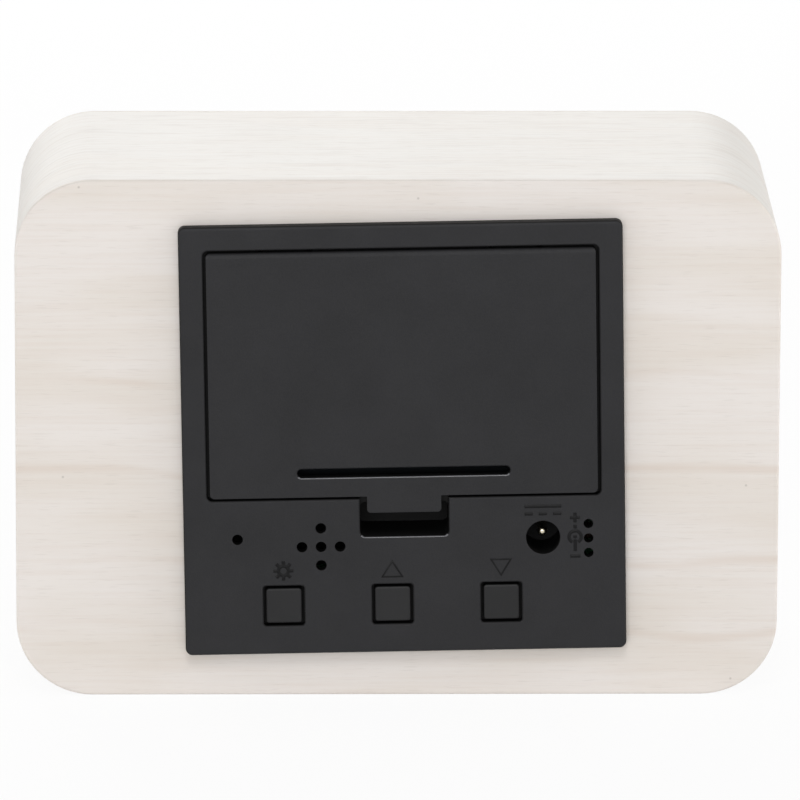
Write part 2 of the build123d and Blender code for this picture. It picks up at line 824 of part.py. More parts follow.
def spring_point(share):
    """A point of the coil and its direction, in the contact's plane, at a share of the coil's turns."""
    angle = 2 * pi * spring_turns * share
    shrink = (spring_tip_diameter - spring_base_diameter) / 2
    radius = spring_base_diameter / 2 + shrink * share
    sweep_rate = 2 * pi * spring_turns * radius
    point = Vector(radius * cos(angle), radius * sin(angle), spring_lift + spring_rise * share)
    direction = Vector(
        shrink * cos(angle) - sweep_rate * sin(angle),
        shrink * sin(angle) + sweep_rate * cos(angle),
        spring_rise,
    )
    return point, direction.normalized()


def spring_coil(plane):
    """Arcs of the coil on a plane: two tangent arcs for every quarter turn."""
    for quarter in range(quarter_turns):
        start, start_way = spring_point(quarter / quarter_turns)
        end, end_way = spring_point((quarter + 1) / quarter_turns)
        span = end - start
        both = span.dot(start_way + end_way)
        bend = 2 * (1 - start_way.dot(end_way))
        reach = (sqrt(both * both + bend * span.dot(span)) - both) / bend
        middle = (start + end + (start_way - end_way) * reach) / 2
        middle_way = (end - end_way * reach) - (start + start_way * reach)
        for first, last, way in ((start, middle, start_way), (middle, end, middle_way)):
            low, high = plane.from_local_coords(first), plane.from_local_coords(last)
            TangentArc(low, high, tangent=plane.from_local_coords(first + way) - low)


sample_count = spring_samples_per_quarter * quarter_turns
spring_samples = [spring_point(step / sample_count)[0] for step in range(sample_count + 1)]
half_turn = 2 * spring_samples_per_quarter
spring_self_gap = min(
    (far - near).length
    for index, near in enumerate(spring_samples)
    for far in spring_samples[index + half_turn:]
) - spring_wire
print(f"battery spring: least gap to itself {spring_self_gap:.2f} mm")

with BuildPart() as battery_springs:
    for row in range(cell_count):
        plate = contact_plane(spring_side(row))
        seat = Plane(
            origin=plate.origin + panel.y_dir * row_rise(row),
            x_dir=plate.x_dir,
            z_dir=plate.z_dir,
        )
        with BuildLine() as coil:
            spring_coil(seat)
        with BuildSketch(Plane(origin=coil.line @ 0, z_dir=coil.line % 0)):
            Circle(spring_wire / 2)
        sweep(path=coil.wire())
pieces["battery_springs"] = battery_springs

# Display: diffuser film, reflector with its wells, and one LED in each well
segment_run = digit_width - segment_width
segment_rise = (digit_height - segment_width) / 2
segment_places = [(0, level * segment_rise, segment_run, 0) for level in (-1, 0, 1)]
segment_places += [
    (side * segment_run / 2, half * segment_rise / 2, segment_rise, 90)
    for side in (-1, 1)
    for half in (-1, 1)
]
digit_middles = []
for digit in range(digit_count):
    step = digit - (digit_count - 1) / 2
    digit_middles.append(step * digit_pitch + (colon_space / 2 if step > 0 else -colon_space / 2))
colon_places = [(0, -colon_dot_rise), (0, colon_dot_rise)]
diffuser_back = veneer_thickness + diffuser_thickness
display_back = veneer_thickness + front_wall_thickness

with BuildPart() as display_diffuser:
    with BuildSketch(behind_front(diffuser_back)):
        Rectangle(display_width, display_height)
    extrude(amount=diffuser_thickness)
pieces["display_diffuser"] = display_diffuser


def segment_outline(length):
    """The corners of a bar with pointed ends, lying along x."""
    tip = (length - segment_gap) / 2
    half = segment_width / 2
    return [
        (-tip, 0),
        (half - tip, -half),
        (tip - half, -half),
        (tip, 0),
        (tip - half, half),
        (half - tip, half),
    ]


with BuildPart() as display_reflector:
    with BuildSketch(behind_front(display_back)):
        Rectangle(display_width, display_height)
        for middle in digit_middles:
            for x, y, length, turn in segment_places:
                with Locations(Location((middle + x, y), turn)):
                    Polygon(*segment_outline(length), mode=Mode.SUBTRACT)
        with Locations(*colon_places):
            Circle(colon_dot_diameter / 2, mode=Mode.SUBTRACT)
    extrude(amount=display_back - diffuser_back)
pieces["display_reflector"] = display_reflector

with BuildPart() as segment_leds:
    with BuildSketch(behind_front(display_back)):
        for middle in digit_middles:
            for x, y, _, turn in segment_places:
                with Locations(Location((middle + x, y), turn)):
                    Rectangle(led_length, led_width)
        with Locations(*colon_places):
            Rectangle(led_width, led_width)
    extrude(amount=led_height)
pieces["segment_leds"] = segment_leds

# Display board on the pocket's floor, held by wood screws
with BuildPart() as display_board:
    with BuildSketch(above_pocket_floor(0)):
        RectangleRounded(display_board_width, display_board_height, pocket_corner_radius)
        with Locations(*display_screw_places):
            Circle((display_screw_diameter + screw_hole_clearance) / 2, mode=Mode.SUBTRACT)
    extrude(amount=board_thickness)
pieces["display_board"] = display_board

with BuildPart() as display_screws:
    add_screws(
        above_pocket_floor(board_thickness),
        display_screw_places,
        1,
        display_screw_diameter,
        display_screw_length,
        display_screw_head_diameter,
        display_screw_head_height,
    )
pieces["display_screws"] = display_screws

with BuildPart() as controller_chip:
    with BuildSketch(above_pocket_floor(board_thickness + chip_gap)):
        with Locations((0, chip_rise)):
            Rectangle(chip_length, chip_width)
    extrude(amount=chip_height - chip_gap)
pieces["controller_chip"] = controller_chip

# Gull-wing leads of the chip, each from its side down to a foot on the board
with BuildPart() as chip_leads:
    for side in (-1, 1):
        edge_y = chip_rise + side * chip_width / 2
        with BuildSketch(above_pocket_floor(board_thickness)):
            with Locations((0, edge_y + side * (chip_lead_out + chip_lead_foot / 2))):
                with GridLocations(chip_lead_pitch, 0, chip_lead_count, 1):
                    Rectangle(chip_lead_width, chip_lead_foot)
        extrude(amount=chip_lead_thickness)
        with BuildSketch(above_pocket_floor(board_thickness)):
            with Locations((0, edge_y + side * (chip_lead_out + chip_lead_thickness / 2))):
                with GridLocations(chip_lead_pitch, 0, chip_lead_count, 1):
                    Rectangle(chip_lead_width, chip_lead_thickness)
        extrude(amount=chip_height / 2 + chip_lead_thickness)
        with BuildSketch(above_pocket_floor(board_thickness + chip_height / 2)):
            with Locations((0, edge_y + side * (chip_lead_out + chip_lead_thickness) / 2)):
                with GridLocations(chip_lead_pitch, 0, chip_lead_count, 1):
                    Rectangle(chip_lead_width, chip_lead_out + chip_lead_thickness)
        extrude(amount=chip_lead_thickness)
pieces["chip_leads"] = chip_leads

with BuildPart() as crystal:
    crystal_end = above_pocket_floor(board_thickness + crystal_diameter / 2)
    crystal_origin = crystal_end.from_local_coords((crystal_offset, crystal_rise - crystal_length / 2, 0))
    with BuildSketch(Plane(origin=crystal_origin, z_dir=crystal_end.y_dir)):
        Circle(crystal_diameter / 2)
    extrude(amount=crystal_length)
    fillet(crystal.edges().filter_by(GeomType.CIRCLE), radius=crystal_edge_round)
pieces["crystal"] = crystal

coin_place = (coin_screw_across - display_screw_across, display_screw_up - coin_screw_down)
coin_holder_radius = coin_diameter / 2 + coin_gap + coin_holder_wall
with BuildPart() as coin_cell_holder:
    with BuildSketch(above_pocket_floor(board_thickness)):
        with Locations(coin_place):
            Circle(coin_holder_radius)
    extrude(amount=coin_holder_floor_thickness + coin_thickness + coin_holder_lip)
    with BuildSketch(above_pocket_floor(board_thickness + coin_holder_floor_thickness)):
        with Locations(coin_place):
            Circle(coin_diameter / 2 + coin_gap)
            Rectangle(coin_slot_width, 2 * coin_holder_radius)
    extrude(amount=coin_thickness + coin_holder_lip, mode=Mode.SUBTRACT)
pieces["coin_cell_holder"] = coin_cell_holder

with BuildPart() as coin_cell:
    with BuildSketch(above_pocket_floor(board_thickness + coin_holder_floor_thickness)):
        with Locations(coin_place):
            Circle(coin_diameter / 2)
    extrude(amount=coin_thickness)
    fillet(coin_cell.edges().filter_by(GeomType.CIRCLE), radius=coin_edge_round)
pieces["coin_cell"] = coin_cell

# Headers that face each other, and the ribbon between them
with BuildPart() as control_header:
    with BuildSketch(behind_panel(board_rear)):
        with Locations((0, panel_bottom + control_header_rise)):
            Rectangle(header_length, header_width)
    extrude(amount=-header_height)
pieces["control_header"] = control_header

with BuildPart() as display_header:
    with BuildSketch(above_pocket_floor(board_thickness)):
        with Locations((0, display_header_rise)):
            Rectangle(header_length, header_width)
    extrude(amount=header_height)
pieces["display_header"] = display_header

ribbon_start = panel.from_local_coords((0, panel_bottom + control_header_rise, -(board_rear + header_height)))
header_top = above_pocket_floor(board_thickness + header_height)
display_end = header_top.from_local_coords((0, display_header_rise, 0))
ribbon_end = Vector(ribbon_start.X, display_end.Y, display_end.Z)
ribbon_lead_in = Vector(0, (ribbon_end.Y - ribbon_start.Y) * ribbon_lead_in_share, 0)
ribbon_points = [ribbon_start, ribbon_start + ribbon_lead_in, ribbon_end - ribbon_lead_in, ribbon_end]
with BuildPart() as ribbon_cable:
    with BuildLine() as ribbon_route:
        FilletPolyline(*ribbon_points, radius=rounded_corner_radii(ribbon_points))
    with BuildSketch(Plane(origin=ribbon_start, x_dir=(1, 0, 0), z_dir=ribbon_route.line % 0)):
        Rectangle(ribbon_width, ribbon_thickness)
    sweep(path=ribbon_route.wire())
pieces["ribbon_cable"] = ribbon_cable

# Battery leads: from each pole's tail, in a loop behind the bay, to the rear of the control board
lead_ends = {
    "positive": ("red_lead", panel_bottom + red_lead_rise),
    "negative": ("black_lead", panel_bottom + black_lead_rise),
}
for pole, (name, end_rise) in lead_ends.items():
    row, side = tail_rows[pole]
    end_offset = side * (board_width / 2 - lead_board_inset)
    tail_offset = side * (bay_length - contact_thickness) / 2
    tail_end = bay_floor_back + tail_length
    loop_depth = tail_end + lead_depth
    lead_points = [
        panel.from_local_coords((tail_offset, row_rise(row), -tail_end)),
        panel.from_local_coords((tail_offset, row_rise(row), -loop_depth)),
        panel.from_local_coords((end_offset, end_rise, -loop_depth)),
        panel.from_local_coords((end_offset, end_rise, -board_rear)),
    ]
    lead_radii = rounded_corner_radii(lead_points)
    with BuildPart() as lead:
        with BuildLine() as lead_route:
            FilletPolyline(*lead_points, radius=lead_radii)
        with BuildSketch(Plane(origin=lead_points[0], z_dir=lead_route.line % 0)):
            Circle(lead_diameter / 2)
        sweep(path=lead_route.wire())
    lead_section = pi * lead_diameter**2 / 4
    volume_share = lead.part.volume / (lead_section * lead_route.wire().length)
    radii_text = ", ".join(f"{radius:.1f}" for radius in lead_radii)
    print(f"{name}: bend radii {radii_text} mm, volume over section x length {volume_share:.3f}")
    pieces[name] = lead

for name, piece in pieces.items():
    piece.part.label = name
    export_step(piece.part, f"parts/{name}.step")
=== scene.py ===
"""Finishes of a wooden digital desk clock: whitewashed veneer with a black service panel in its back.

Lengths are in metres and material patterns in millimetres. The clock's front faces -Y.
"""

import json
from math import cos, radians, sin, tau

import bpy
from bpy.props import FloatProperty, FloatVectorProperty, IntProperty, PointerProperty, StringProperty
from bpy.types import Operator, Panel, PropertyGroup
from mathutils import Matrix, Vector


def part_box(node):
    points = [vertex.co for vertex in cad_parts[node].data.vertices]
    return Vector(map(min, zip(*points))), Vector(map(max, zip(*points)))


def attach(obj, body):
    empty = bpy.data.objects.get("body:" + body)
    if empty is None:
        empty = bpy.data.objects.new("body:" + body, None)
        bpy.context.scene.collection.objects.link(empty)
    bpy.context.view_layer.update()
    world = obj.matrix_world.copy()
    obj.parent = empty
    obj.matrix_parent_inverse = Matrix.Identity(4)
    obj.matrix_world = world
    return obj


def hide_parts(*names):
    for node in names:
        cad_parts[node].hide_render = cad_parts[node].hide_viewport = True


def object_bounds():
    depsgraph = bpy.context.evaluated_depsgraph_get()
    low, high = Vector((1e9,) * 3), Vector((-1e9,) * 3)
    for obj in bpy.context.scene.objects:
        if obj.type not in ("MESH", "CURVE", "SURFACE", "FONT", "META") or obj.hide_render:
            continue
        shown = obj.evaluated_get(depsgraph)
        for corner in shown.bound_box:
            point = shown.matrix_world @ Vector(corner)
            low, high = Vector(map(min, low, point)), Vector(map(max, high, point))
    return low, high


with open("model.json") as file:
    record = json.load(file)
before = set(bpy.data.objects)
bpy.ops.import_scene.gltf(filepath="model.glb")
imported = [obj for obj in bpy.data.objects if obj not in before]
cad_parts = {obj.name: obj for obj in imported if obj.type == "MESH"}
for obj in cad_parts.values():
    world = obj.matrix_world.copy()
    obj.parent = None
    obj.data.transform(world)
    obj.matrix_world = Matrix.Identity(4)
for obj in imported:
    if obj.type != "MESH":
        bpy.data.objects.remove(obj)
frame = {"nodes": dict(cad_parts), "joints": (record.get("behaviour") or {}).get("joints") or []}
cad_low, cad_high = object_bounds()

bl_info = {
    "name": "Wooden Desk Clock",
    "version": (1, 0, 0),
    "blender": (4, 5, 0),
    "location": "View3D > Sidebar > Clock",
    "description": "Dresses the clock's solids with finishes, signs, wiring and lit digits",
    "category": "Object",
}

MM = 0.001

# The panel sits slightly askew, and its lid's hinge line runs along its width.
LID_HINGE = next(joint for joint in frame["joints"] if joint["name"] == "lid_hinge")
PANEL_OUT = Vector((0, 1, 0))
PANEL_RIGHT = -Vector(LID_HINGE["axis"]).normalized()
PANEL_UP = PANEL_OUT.cross(PANEL_RIGHT)


def linear(hex_colour):
    """An sRGB hex colour as linear red, green and blue."""
    channels = [int(hex_colour[start:start + 2], 16) / 255 for start in (0, 2, 4)]
    return tuple(c / 12.92 if c <= 0.04045 else ((c + 0.055) / 1.055) ** 2.4 for c in channels)


class ClockVeneer(PropertyGroup):
    """The pale wood that the case is faced with."""

    sheet_colour: FloatVectorProperty(
        name="Sheet", description="Stained wood of the front and back sheets",
        default=linear("EAE4DF"), subtype="COLOR", min=0, max=1)
    blush_colour: FloatVectorProperty(
        name="Blush", description="Warmer heartwood showing through the stain",
        default=linear("E3DBD2"), subtype="COLOR", min=0, max=1)
    line_colour: FloatVectorProperty(
        name="Growth Line", description="Tan late wood in the growth lines",
        default=linear("D2BFAF"), subtype="COLOR", min=0, max=1)
    strip_colour: FloatVectorProperty(
        name="Edge Strip", description="Whiter wood of the strip round the edge",
        default=linear("E4E1DC"), subtype="COLOR", min=0, max=1)
    pore_colour: FloatVectorProperty(
        name="Pores", description="Grey of the open pores",
        default=linear("B5AAA0"), subtype="COLOR", min=0, max=1)
    line_heights: FloatVectorProperty(
        name="Growth Line Heights", description="Heights of the growth lines above the base",
        default=(0.0410, 0.0293, 0.0178, 0.0095), size=4, unit="LENGTH", precision=5)
    line_width: FloatProperty(
        name="Growth Line Width", description="Height over which a growth line fades out",
        default=0.0009, unit="LENGTH", min=0.0001)
    fibre_length: FloatProperty(
        name="Fibre Length", description="Length of a visible bundle of fibres",
        default=0.018, unit="LENGTH", min=0.0001)
    fibre_width: FloatProperty(
        name="Fibre Width", description="Width of a visible bundle of fibres",
        default=0.0005, unit="LENGTH", min=0.00001)
    pore_length: FloatProperty(
        name="Pore Length", description="Length of an open pore",
        default=0.003, unit="LENGTH", min=0.0001)
    pore_width: FloatProperty(
        name="Pore Width", description="Width of an open pore",
        default=0.00021, unit="LENGTH", min=0.00001)


class ClockPanel(PropertyGroup):
    """The black plastic panel with its buttons and raised signs."""

    panel_colour: FloatVectorProperty(
        name="Panel", description="Black plastic of the panel and its lid",
        default=linear("232325"), subtype="COLOR", min=0, max=1)
    button_colour: FloatVectorProperty(
        name="Buttons", description="Black plastic of the buttons",
        default=linear("202021"), subtype="COLOR", min=0, max=1)
    spark_size: FloatProperty(
        name="Texture Size", description="Pit size of the panel's moulded texture",
        default=0.00022, unit="LENGTH", min=0.00001)
    slot_length: FloatProperty(
        name="Slot Length", description="Length of the slot that lets the lid's latch bend",
        default=0.0279, unit="LENGTH", min=0.001)
    slot_drop: FloatProperty(
        name="Slot Drop", description="From the panel's middle down to the slot's lower lip",
        default=0.00502, unit="LENGTH")
    notch_width: FloatProperty(
        name="Notch Width", description="Width of the finger notch under the lid's tab",
        default=0.01165, unit="LENGTH", min=0.001)
    notch_drop: FloatProperty(
        name="Notch Drop", description="From the panel's middle down to the notch's lower lip",
        default=0.0131, unit="LENGTH")
    # The lips' pale grey is a painted highlight.
    lip_radius: FloatProperty(
        name="Lip Radius", description="Rounding of the rubbed lips",
        default=0.0002, unit="LENGTH", min=0.00001)
    sign_height: FloatProperty(
        name="Sign Height", description="Height of the sign above each button",
        default=0.0026, unit="LENGTH", min=0.0001)
    sign_stroke: FloatProperty(
        name="Sign Stroke", description="Thickness of the bars that the signs are drawn with",
        default=0.0007, unit="LENGTH", min=0.00001)
    sign_relief: FloatProperty(
        name="Sign Relief", description="How far the signs stand out of the panel",
        default=0.0001, unit="LENGTH", min=0)
    button_sign_rise: FloatProperty(
        name="Button Sign Rise", description="From a button's middle up to its sign",
        default=0.00475, unit="LENGTH")
    supply_sign_rise: FloatProperty(
        name="Supply Sign Rise", description="From the inlet's middle up to the supply sign",
        default=0.0037, unit="LENGTH")
    polarity_sign_offset: FloatProperty(
        name="Polarity Sign Offset", description="From the inlet's middle across to the polarity sign",
        default=0.0042, unit="LENGTH")


class ClockDisplay(PropertyGroup):
    """The digits that shine through the front."""

    shown_time: StringProperty(
        name="Time", description="Four figures that the clock shows", default="1008", maxlen=4)
    glow_colour: FloatVectorProperty(
        name="Glow", description="Light of the digits after it has passed the wood",
        default=linear("E6F2FF"), subtype="COLOR", min=0, max=1)
    glow_strength: FloatProperty(
        name="Glow Strength", description="Brightness of the lit bars", default=0.42, min=0)
    digit_width: FloatProperty(
        name="Digit Width", description="Between the middles of a digit's upright bars",
        default=0.0058, unit="LENGTH", min=0.0001)
    digit_height: FloatProperty(
        name="Digit Height", description="Between the middles of a digit's top and bottom bars",
        default=0.0126, unit="LENGTH", min=0.0001)
    digit_pitch: FloatProperty(
        name="Digit Pitch", description="Between the middles of a pair of digits",
        default=0.0118, unit="LENGTH", min=0.0001)
    pair_pitch: FloatProperty(
        name="Pair Pitch", description="Between the middles of the hours and the minutes",
        default=0.0256, unit="LENGTH", min=0.0001)
    bar_width: FloatProperty(
        name="Bar Width", description="Width of a lit bar", default=0.0012, unit="LENGTH", min=0.0001)
    bar_gap: FloatProperty(
        name="Bar Gap", description="Dark gap at each end of a lit bar",
        default=0.0006, unit="LENGTH", min=0)
    colon_rise: FloatProperty(
        name="Colon Rise", description="From the middle to each dot of the colon",
        default=0.003, unit="LENGTH", min=0)
    feather: FloatProperty(
        name="Feather", description="Width over which the wood spreads the light",
        default=0.0006, unit="LENGTH", min=0.0001)
    mesh_step: FloatProperty(
        name="Mesh Step", description="Mesh size of the lit sheet",
        default=0.0003, unit="LENGTH", min=0.0001)


class ClockInside(PropertyGroup):
    """The cells, springs and wiring behind the panel."""

    sleeve_colour: FloatVectorProperty(
        name="Cell Sleeve", description="Shrunk film round each cell",
        default=linear("1E2124"), subtype="COLOR", min=0, max=1)
    band_colour: FloatVectorProperty(
        name="Cell Band", description="Band at each cell's plus end",
        default=linear("C9CDD2"), subtype="COLOR", min=0, max=1)
    band_share: FloatProperty(
        name="Cell Band Share", description="Share of the sleeve that the band covers",
        default=0.17, subtype="FACTOR", min=0, max=1)
    board_colour: FloatVectorProperty(
        name="Boards", description="Solder mask of the circuit boards",
        default=linear("1F5B3A"), subtype="COLOR", min=0, max=1)
    track_pitch: FloatProperty(
        name="Track Pitch", description="Spacing of the copper tracks",
        default=0.0025, unit="LENGTH", min=0.0001)
    spring_wire: FloatProperty(
        name="Spring Wire", description="Wire of the battery springs",
        default=0.0006, unit="LENGTH", min=0.0001)
    spring_foot: FloatProperty(
        name="Spring Foot", description="Middle diameter of a spring's first turn",
        default=0.007, unit="LENGTH", min=0.0001)
    spring_tip: FloatProperty(
        name="Spring Tip", description="Middle diameter of a spring's last turn",
        default=0.0046, unit="LENGTH", min=0.0001)
    spring_length: FloatProperty(
        name="Spring Length", description="Height of a spring pressed by its cell",
        default=0.0034, unit="LENGTH", min=0.0001)
    spring_turns: FloatProperty(
        name="Spring Turns", description="Turns of each battery spring", default=2.5, min=1)
    lead_diameter: FloatProperty(
        name="Lead Diameter", description="Red and black leads over their insulation",
        default=0.0012, unit="LENGTH", min=0.0001)
    ribbon_ways: IntProperty(
        name="Ribbon Ways", description="Wires side by side in the ribbon", default=6, min=1)


class ClockStage(PropertyGroup):
    """The camera, the floor and the lamps."""

    camera_place: FloatVectorProperty(
        name="Camera", description="Where the camera stands",
        default=(0.024157, 1.269357, 0.336102), subtype="XYZ", unit="LENGTH", precision=6)
    camera_aim: FloatVectorProperty(
        name="Aim", description="The point that the camera looks at",
        default=(-0.000289, 0.0216, 0.039856), subtype="XYZ", unit="LENGTH", precision=6)
    camera_roll: FloatProperty(
        name="Roll", description="Turn of the camera about its own line of sight",
        default=radians(0.2066), subtype="ANGLE")
    lens: FloatProperty(
        name="Lens", description="Focal length in millimetres on a 36 mm sensor", default=441.44, min=1)
    floor_colour: FloatVectorProperty(
        name="Floor", description="Paint of the floor",
        default=linear("FAFAFA"), subtype="COLOR", min=0, max=1)
    floor_glow: FloatProperty(
        name="Floor Whiteness", description="Share of plain white in the floor as the camera sees it",
        default=0.92, subtype="FACTOR", min=0, max=1)
    key_power: FloatProperty(
        name="Key Lamp", description="Power of the lamp high up behind the clock", default=2.5, min=0)
    back_power: FloatProperty(
        name="Back Lamp", description="Power of the lamp that faces the back", default=5.95, min=0)
    front_power: FloatProperty(
        name="Front Lamp", description="Power of the lamp that faces the front", default=7.0, min=0)
    left_power: FloatProperty(
        name="Left Lamp", description="Power of the lamp at the left of the front", default=3.9, min=0)
    right_power: FloatProperty(
        name="Right Lamp", description="Power of the lamp at the right of the front", default=2.0, min=0)
    room_level: FloatProperty(
        name="Room Light", description="Strength of the even light from all round", default=0.31, min=0)


def add_node(tree, kind, inputs, out=0, **settings):
    """Adds one shader node with its settings, values and links, and gives one of its outputs.

    Sockets that share a name go by number. Map Range takes a value at 0, its range at 1 and 2 and the
    new range at 3 and 4. A colour Mix has its share at 0, its colours at 6 and 7 and its result at 2.
    """
    node = tree.nodes.new(kind)
    for name, value in settings.items():
        setattr(node, name, value)
    for key, value in inputs.items():
        socket = node.inputs[key]
        if isinstance(value, bpy.types.NodeSocket):
            tree.links.new(value, socket)
        elif socket.type == "RGBA":
            socket.default_value = (*value, 1)
        else:
            socket.default_value = value
    return node.outputs[out] if node.outputs else None


def new_finish(name):
    """A new material with an empty node tree, and the place on the piece in millimetres."""
    material = bpy.data.materials.new(name)
    material.use_nodes = True
    tree = material.node_tree
    tree.nodes.clear()
    spot = add_node(tree, "ShaderNodeTexCoord", {}, "Object")
    place = add_node(tree, "ShaderNodeVectorMath", {0: spot, "Scale": 1 / MM}, operation="SCALE")
    return material, tree, place


def end_finish(material, colour, layers, inputs):
    """The material, ended with a surface of these values in a colour with layers over it.

    Each layer is the share that it covers and its colour.
    """
    tree = material.node_tree
    for share, over in layers:
        colour = add_node(tree, "ShaderNodeMix", {0: share, 6: colour, 7: over}, 2, data_type="RGBA")
    surface = add_node(tree, "ShaderNodeBsdfPrincipled", {"Base Color": colour, **inputs})
    add_node(tree, "ShaderNodeOutputMaterial", {"Surface": surface})
    return material


def patches(tree, place, x, y=None, z=None, detail=2):
    """A soft random pattern with patches of this size in millimetres, the same all ways unless given."""
    inputs = {0: place, 1: [1 / size for size in (x, y or x, z or x)]}
    stretched = add_node(tree, "ShaderNodeVectorMath", inputs, operation="MULTIPLY")
    return add_node(tree, "ShaderNodeTexNoise", {"Vector": stretched, "Scale": 1, "Detail": detail})


def rounded_edges(tree, radius, turned, most):
    """Normals that round the edges by a radius in millimetres, and a share along those edges for paler or
    greyer edges.

    The share grows from none on the flat to its most where the normal has turned to this cosine.
    """
    rounded = add_node(tree, "ShaderNodeBevel", {"Radius": radius * MM}, samples=6)
    flat = add_node(tree, "ShaderNodeNewGeometry", {}, "Normal")
    turn = add_node(tree, "ShaderNodeVectorMath", {0: rounded, 1: flat}, "Value", operation="DOT_PRODUCT")
    return rounded, add_node(tree, "ShaderNodeMapRange", {0: turn, 1: 1, 2: turned, 3: 0, 4: most})


def facing_out(tree, low, high):
    """How far a spot faces out of the panel: not at all up to the low cosine, fully from the high one."""
    normal = add_node(tree, "ShaderNodeTexCoord", {}, "Normal")
    outward = add_node(tree, "ShaderNodeSeparateXYZ", {0: normal}, "Y")
    return add_node(tree, "ShaderNodeMapRange", {0: outward, 1: low, 2: high})


def seen_rays(tree):
    """1 for rays that show a surface to the camera, straight or in metal and glass, and 0 for its light."""
    seen = 0
    for ray in ("Is Camera Ray", "Is Glossy Ray", "Is Transmission Ray"):
        inputs = {0: seen, 1: add_node(tree, "ShaderNodeLightPath", {}, ray)}
        seen = add_node(tree, "ShaderNodeMath", inputs, operation="MAXIMUM")
    return seen


def whitewashed_veneer(name, look, sheet, glow=None):
    """Sliced pale wood, sanded flat, rubbed with a white stain and left matt.

    The eye sees long fine fibres, short grey pores that the stain missed and, on the flat sheets,
    a few soft tan growth lines that wander and fade. The strip has short grey streaks instead. Fibres
    and pores are drawn about twice as wide as in the wood, so that they show.
    """
    material, tree, place = new_finish(name)
    tone_length, tone_width = 42.0, 11.0
    waver_length, waver_height = 46.0, 2.2
    fade_length, fade_width = 24.0, 8.0
    streak_length, streak_width = 9.0, 1.4
    knot_spacing = 27.0

    def grain(length, width, detail):
        """Patches along the grain, which runs along X on the sheets and round the edge on the strip."""
        return patches(tree, place, length, width, width if sheet else length, detail=detail)

    fibres = grain(look.fibre_length / MM, look.fibre_width / MM, 3)
    pores = grain(look.pore_length / MM, look.pore_width / MM, 1)
    inputs = {0: grain(tone_length, tone_width, 2), 1: 0.38, 2: 0.64, 4: 0.75 if sheet else 0.2}
    blush = add_node(tree, "ShaderNodeMapRange", inputs, interpolation_type="SMOOTHSTEP")
    shade = add_node(tree, "ShaderNodeMapRange", {0: fibres, 1: 0.42, 2: 0.75, 4: 0.16})
    open_pore = add_node(tree, "ShaderNodeMapRange", {0: pores, 1: 0.6, 2: 0.74, 4: 0.14 if sheet else 0.3})
    # Sanding rounds the sheets' edges, and the sheets are drawn greyer along their edges.
    rounded, edge_grey = rounded_edges(tree, 0.3, 0.85, 0.3)

    lines, knots = [], []
    if sheet:
        x, z = [add_node(tree, "ShaderNodeSeparateXYZ", {0: place}, axis) for axis in "XZ"]
        inputs = {0: grain(waver_length, waver_length, 1), 1: 0.3, 2: 0.7, 3: -waver_height, 4: waver_height}
        waver = add_node(tree, "ShaderNodeMapRange", inputs, clamp=False)
        wavy = add_node(tree, "ShaderNodeMath", {0: z, 1: waver}, operation="ADD")
        inputs = {0: grain(fade_length, fade_width, 2), 1: 0.38, 2: 0.66, 4: 0.34}
        faded = add_node(tree, "ShaderNodeMapRange", inputs, interpolation_type="SMOOTHSTEP")
        for line in look.line_heights:
            off = add_node(tree, "ShaderNodeMath", {0: wavy, 1: line / MM}, operation="SUBTRACT")
            near = add_node(tree, "ShaderNodeMath", {0: off}, operation="ABSOLUTE")
            inputs = {0: near, 2: look.line_width / MM, 3: 1, 4: 0}
            mark = add_node(tree, "ShaderNodeMapRange", inputs, interpolation_type="SMOOTHSTEP")
            share = add_node(tree, "ShaderNodeMath", {0: mark, 1: faded}, operation="MULTIPLY")
            lines.append((share, look.line_colour))
        # Pin knots: a dark speck every few centimetres.
        inputs = {"Vector": add_node(tree, "ShaderNodeCombineXYZ", {0: x, 1: z}), "Scale": 1 / knot_spacing}
        knot = add_node(tree, "ShaderNodeTexVoronoi", inputs, "Distance", voronoi_dimensions="2D")
        speck = add_node(tree, "ShaderNodeMapRange", {0: knot, 1: 0.008, 2: 0.003, 3: 0, 4: 0.3})
        knots.append((speck, linear("6E6358")))
    else:
        # The strip is cut across the growth rings, which leaves the streaks.
        inputs = {0: grain(streak_length, streak_width, 2), 1: 0.5, 2: 0.72, 4: 0.13}
        streak = add_node(tree, "ShaderNodeMapRange", inputs, interpolation_type="SMOOTHSTEP")
        lines.append((streak, look.pore_colour))
    layers = [
        (blush, look.blush_colour), *lines, (shade, look.line_colour),
        (open_pore, look.pore_colour), *knots, (edge_grey, look.pore_colour),
    ]

    roughness = add_node(tree, "ShaderNodeMapRange", {0: fibres, 3: 0.52, 4: 0.72})
    depth = add_node(tree, "ShaderNodeMath", {0: shade, 1: open_pore}, operation="ADD")
    inputs = {"Strength": 0.35, "Distance": 0.03 * MM, "Height": depth, "Normal": rounded}
    relief = add_node(tree, "ShaderNodeBump", inputs, invert=True)
    inputs = {"Roughness": roughness, "Normal": relief, "IOR": 1.5}
    if glow:
        lit = add_node(tree, "ShaderNodeAttribute", {}, "Fac", attribute_name="glow")
        lamp = add_node(tree, "ShaderNodeMath", {0: lit, 1: glow.glow_strength}, operation="MULTIPLY")
        inputs |= {"Emission Strength": lamp, "Emission Color": glow.glow_colour}
    return end_finish(material, look.sheet_colour if sheet else look.strip_colour, layers, inputs)


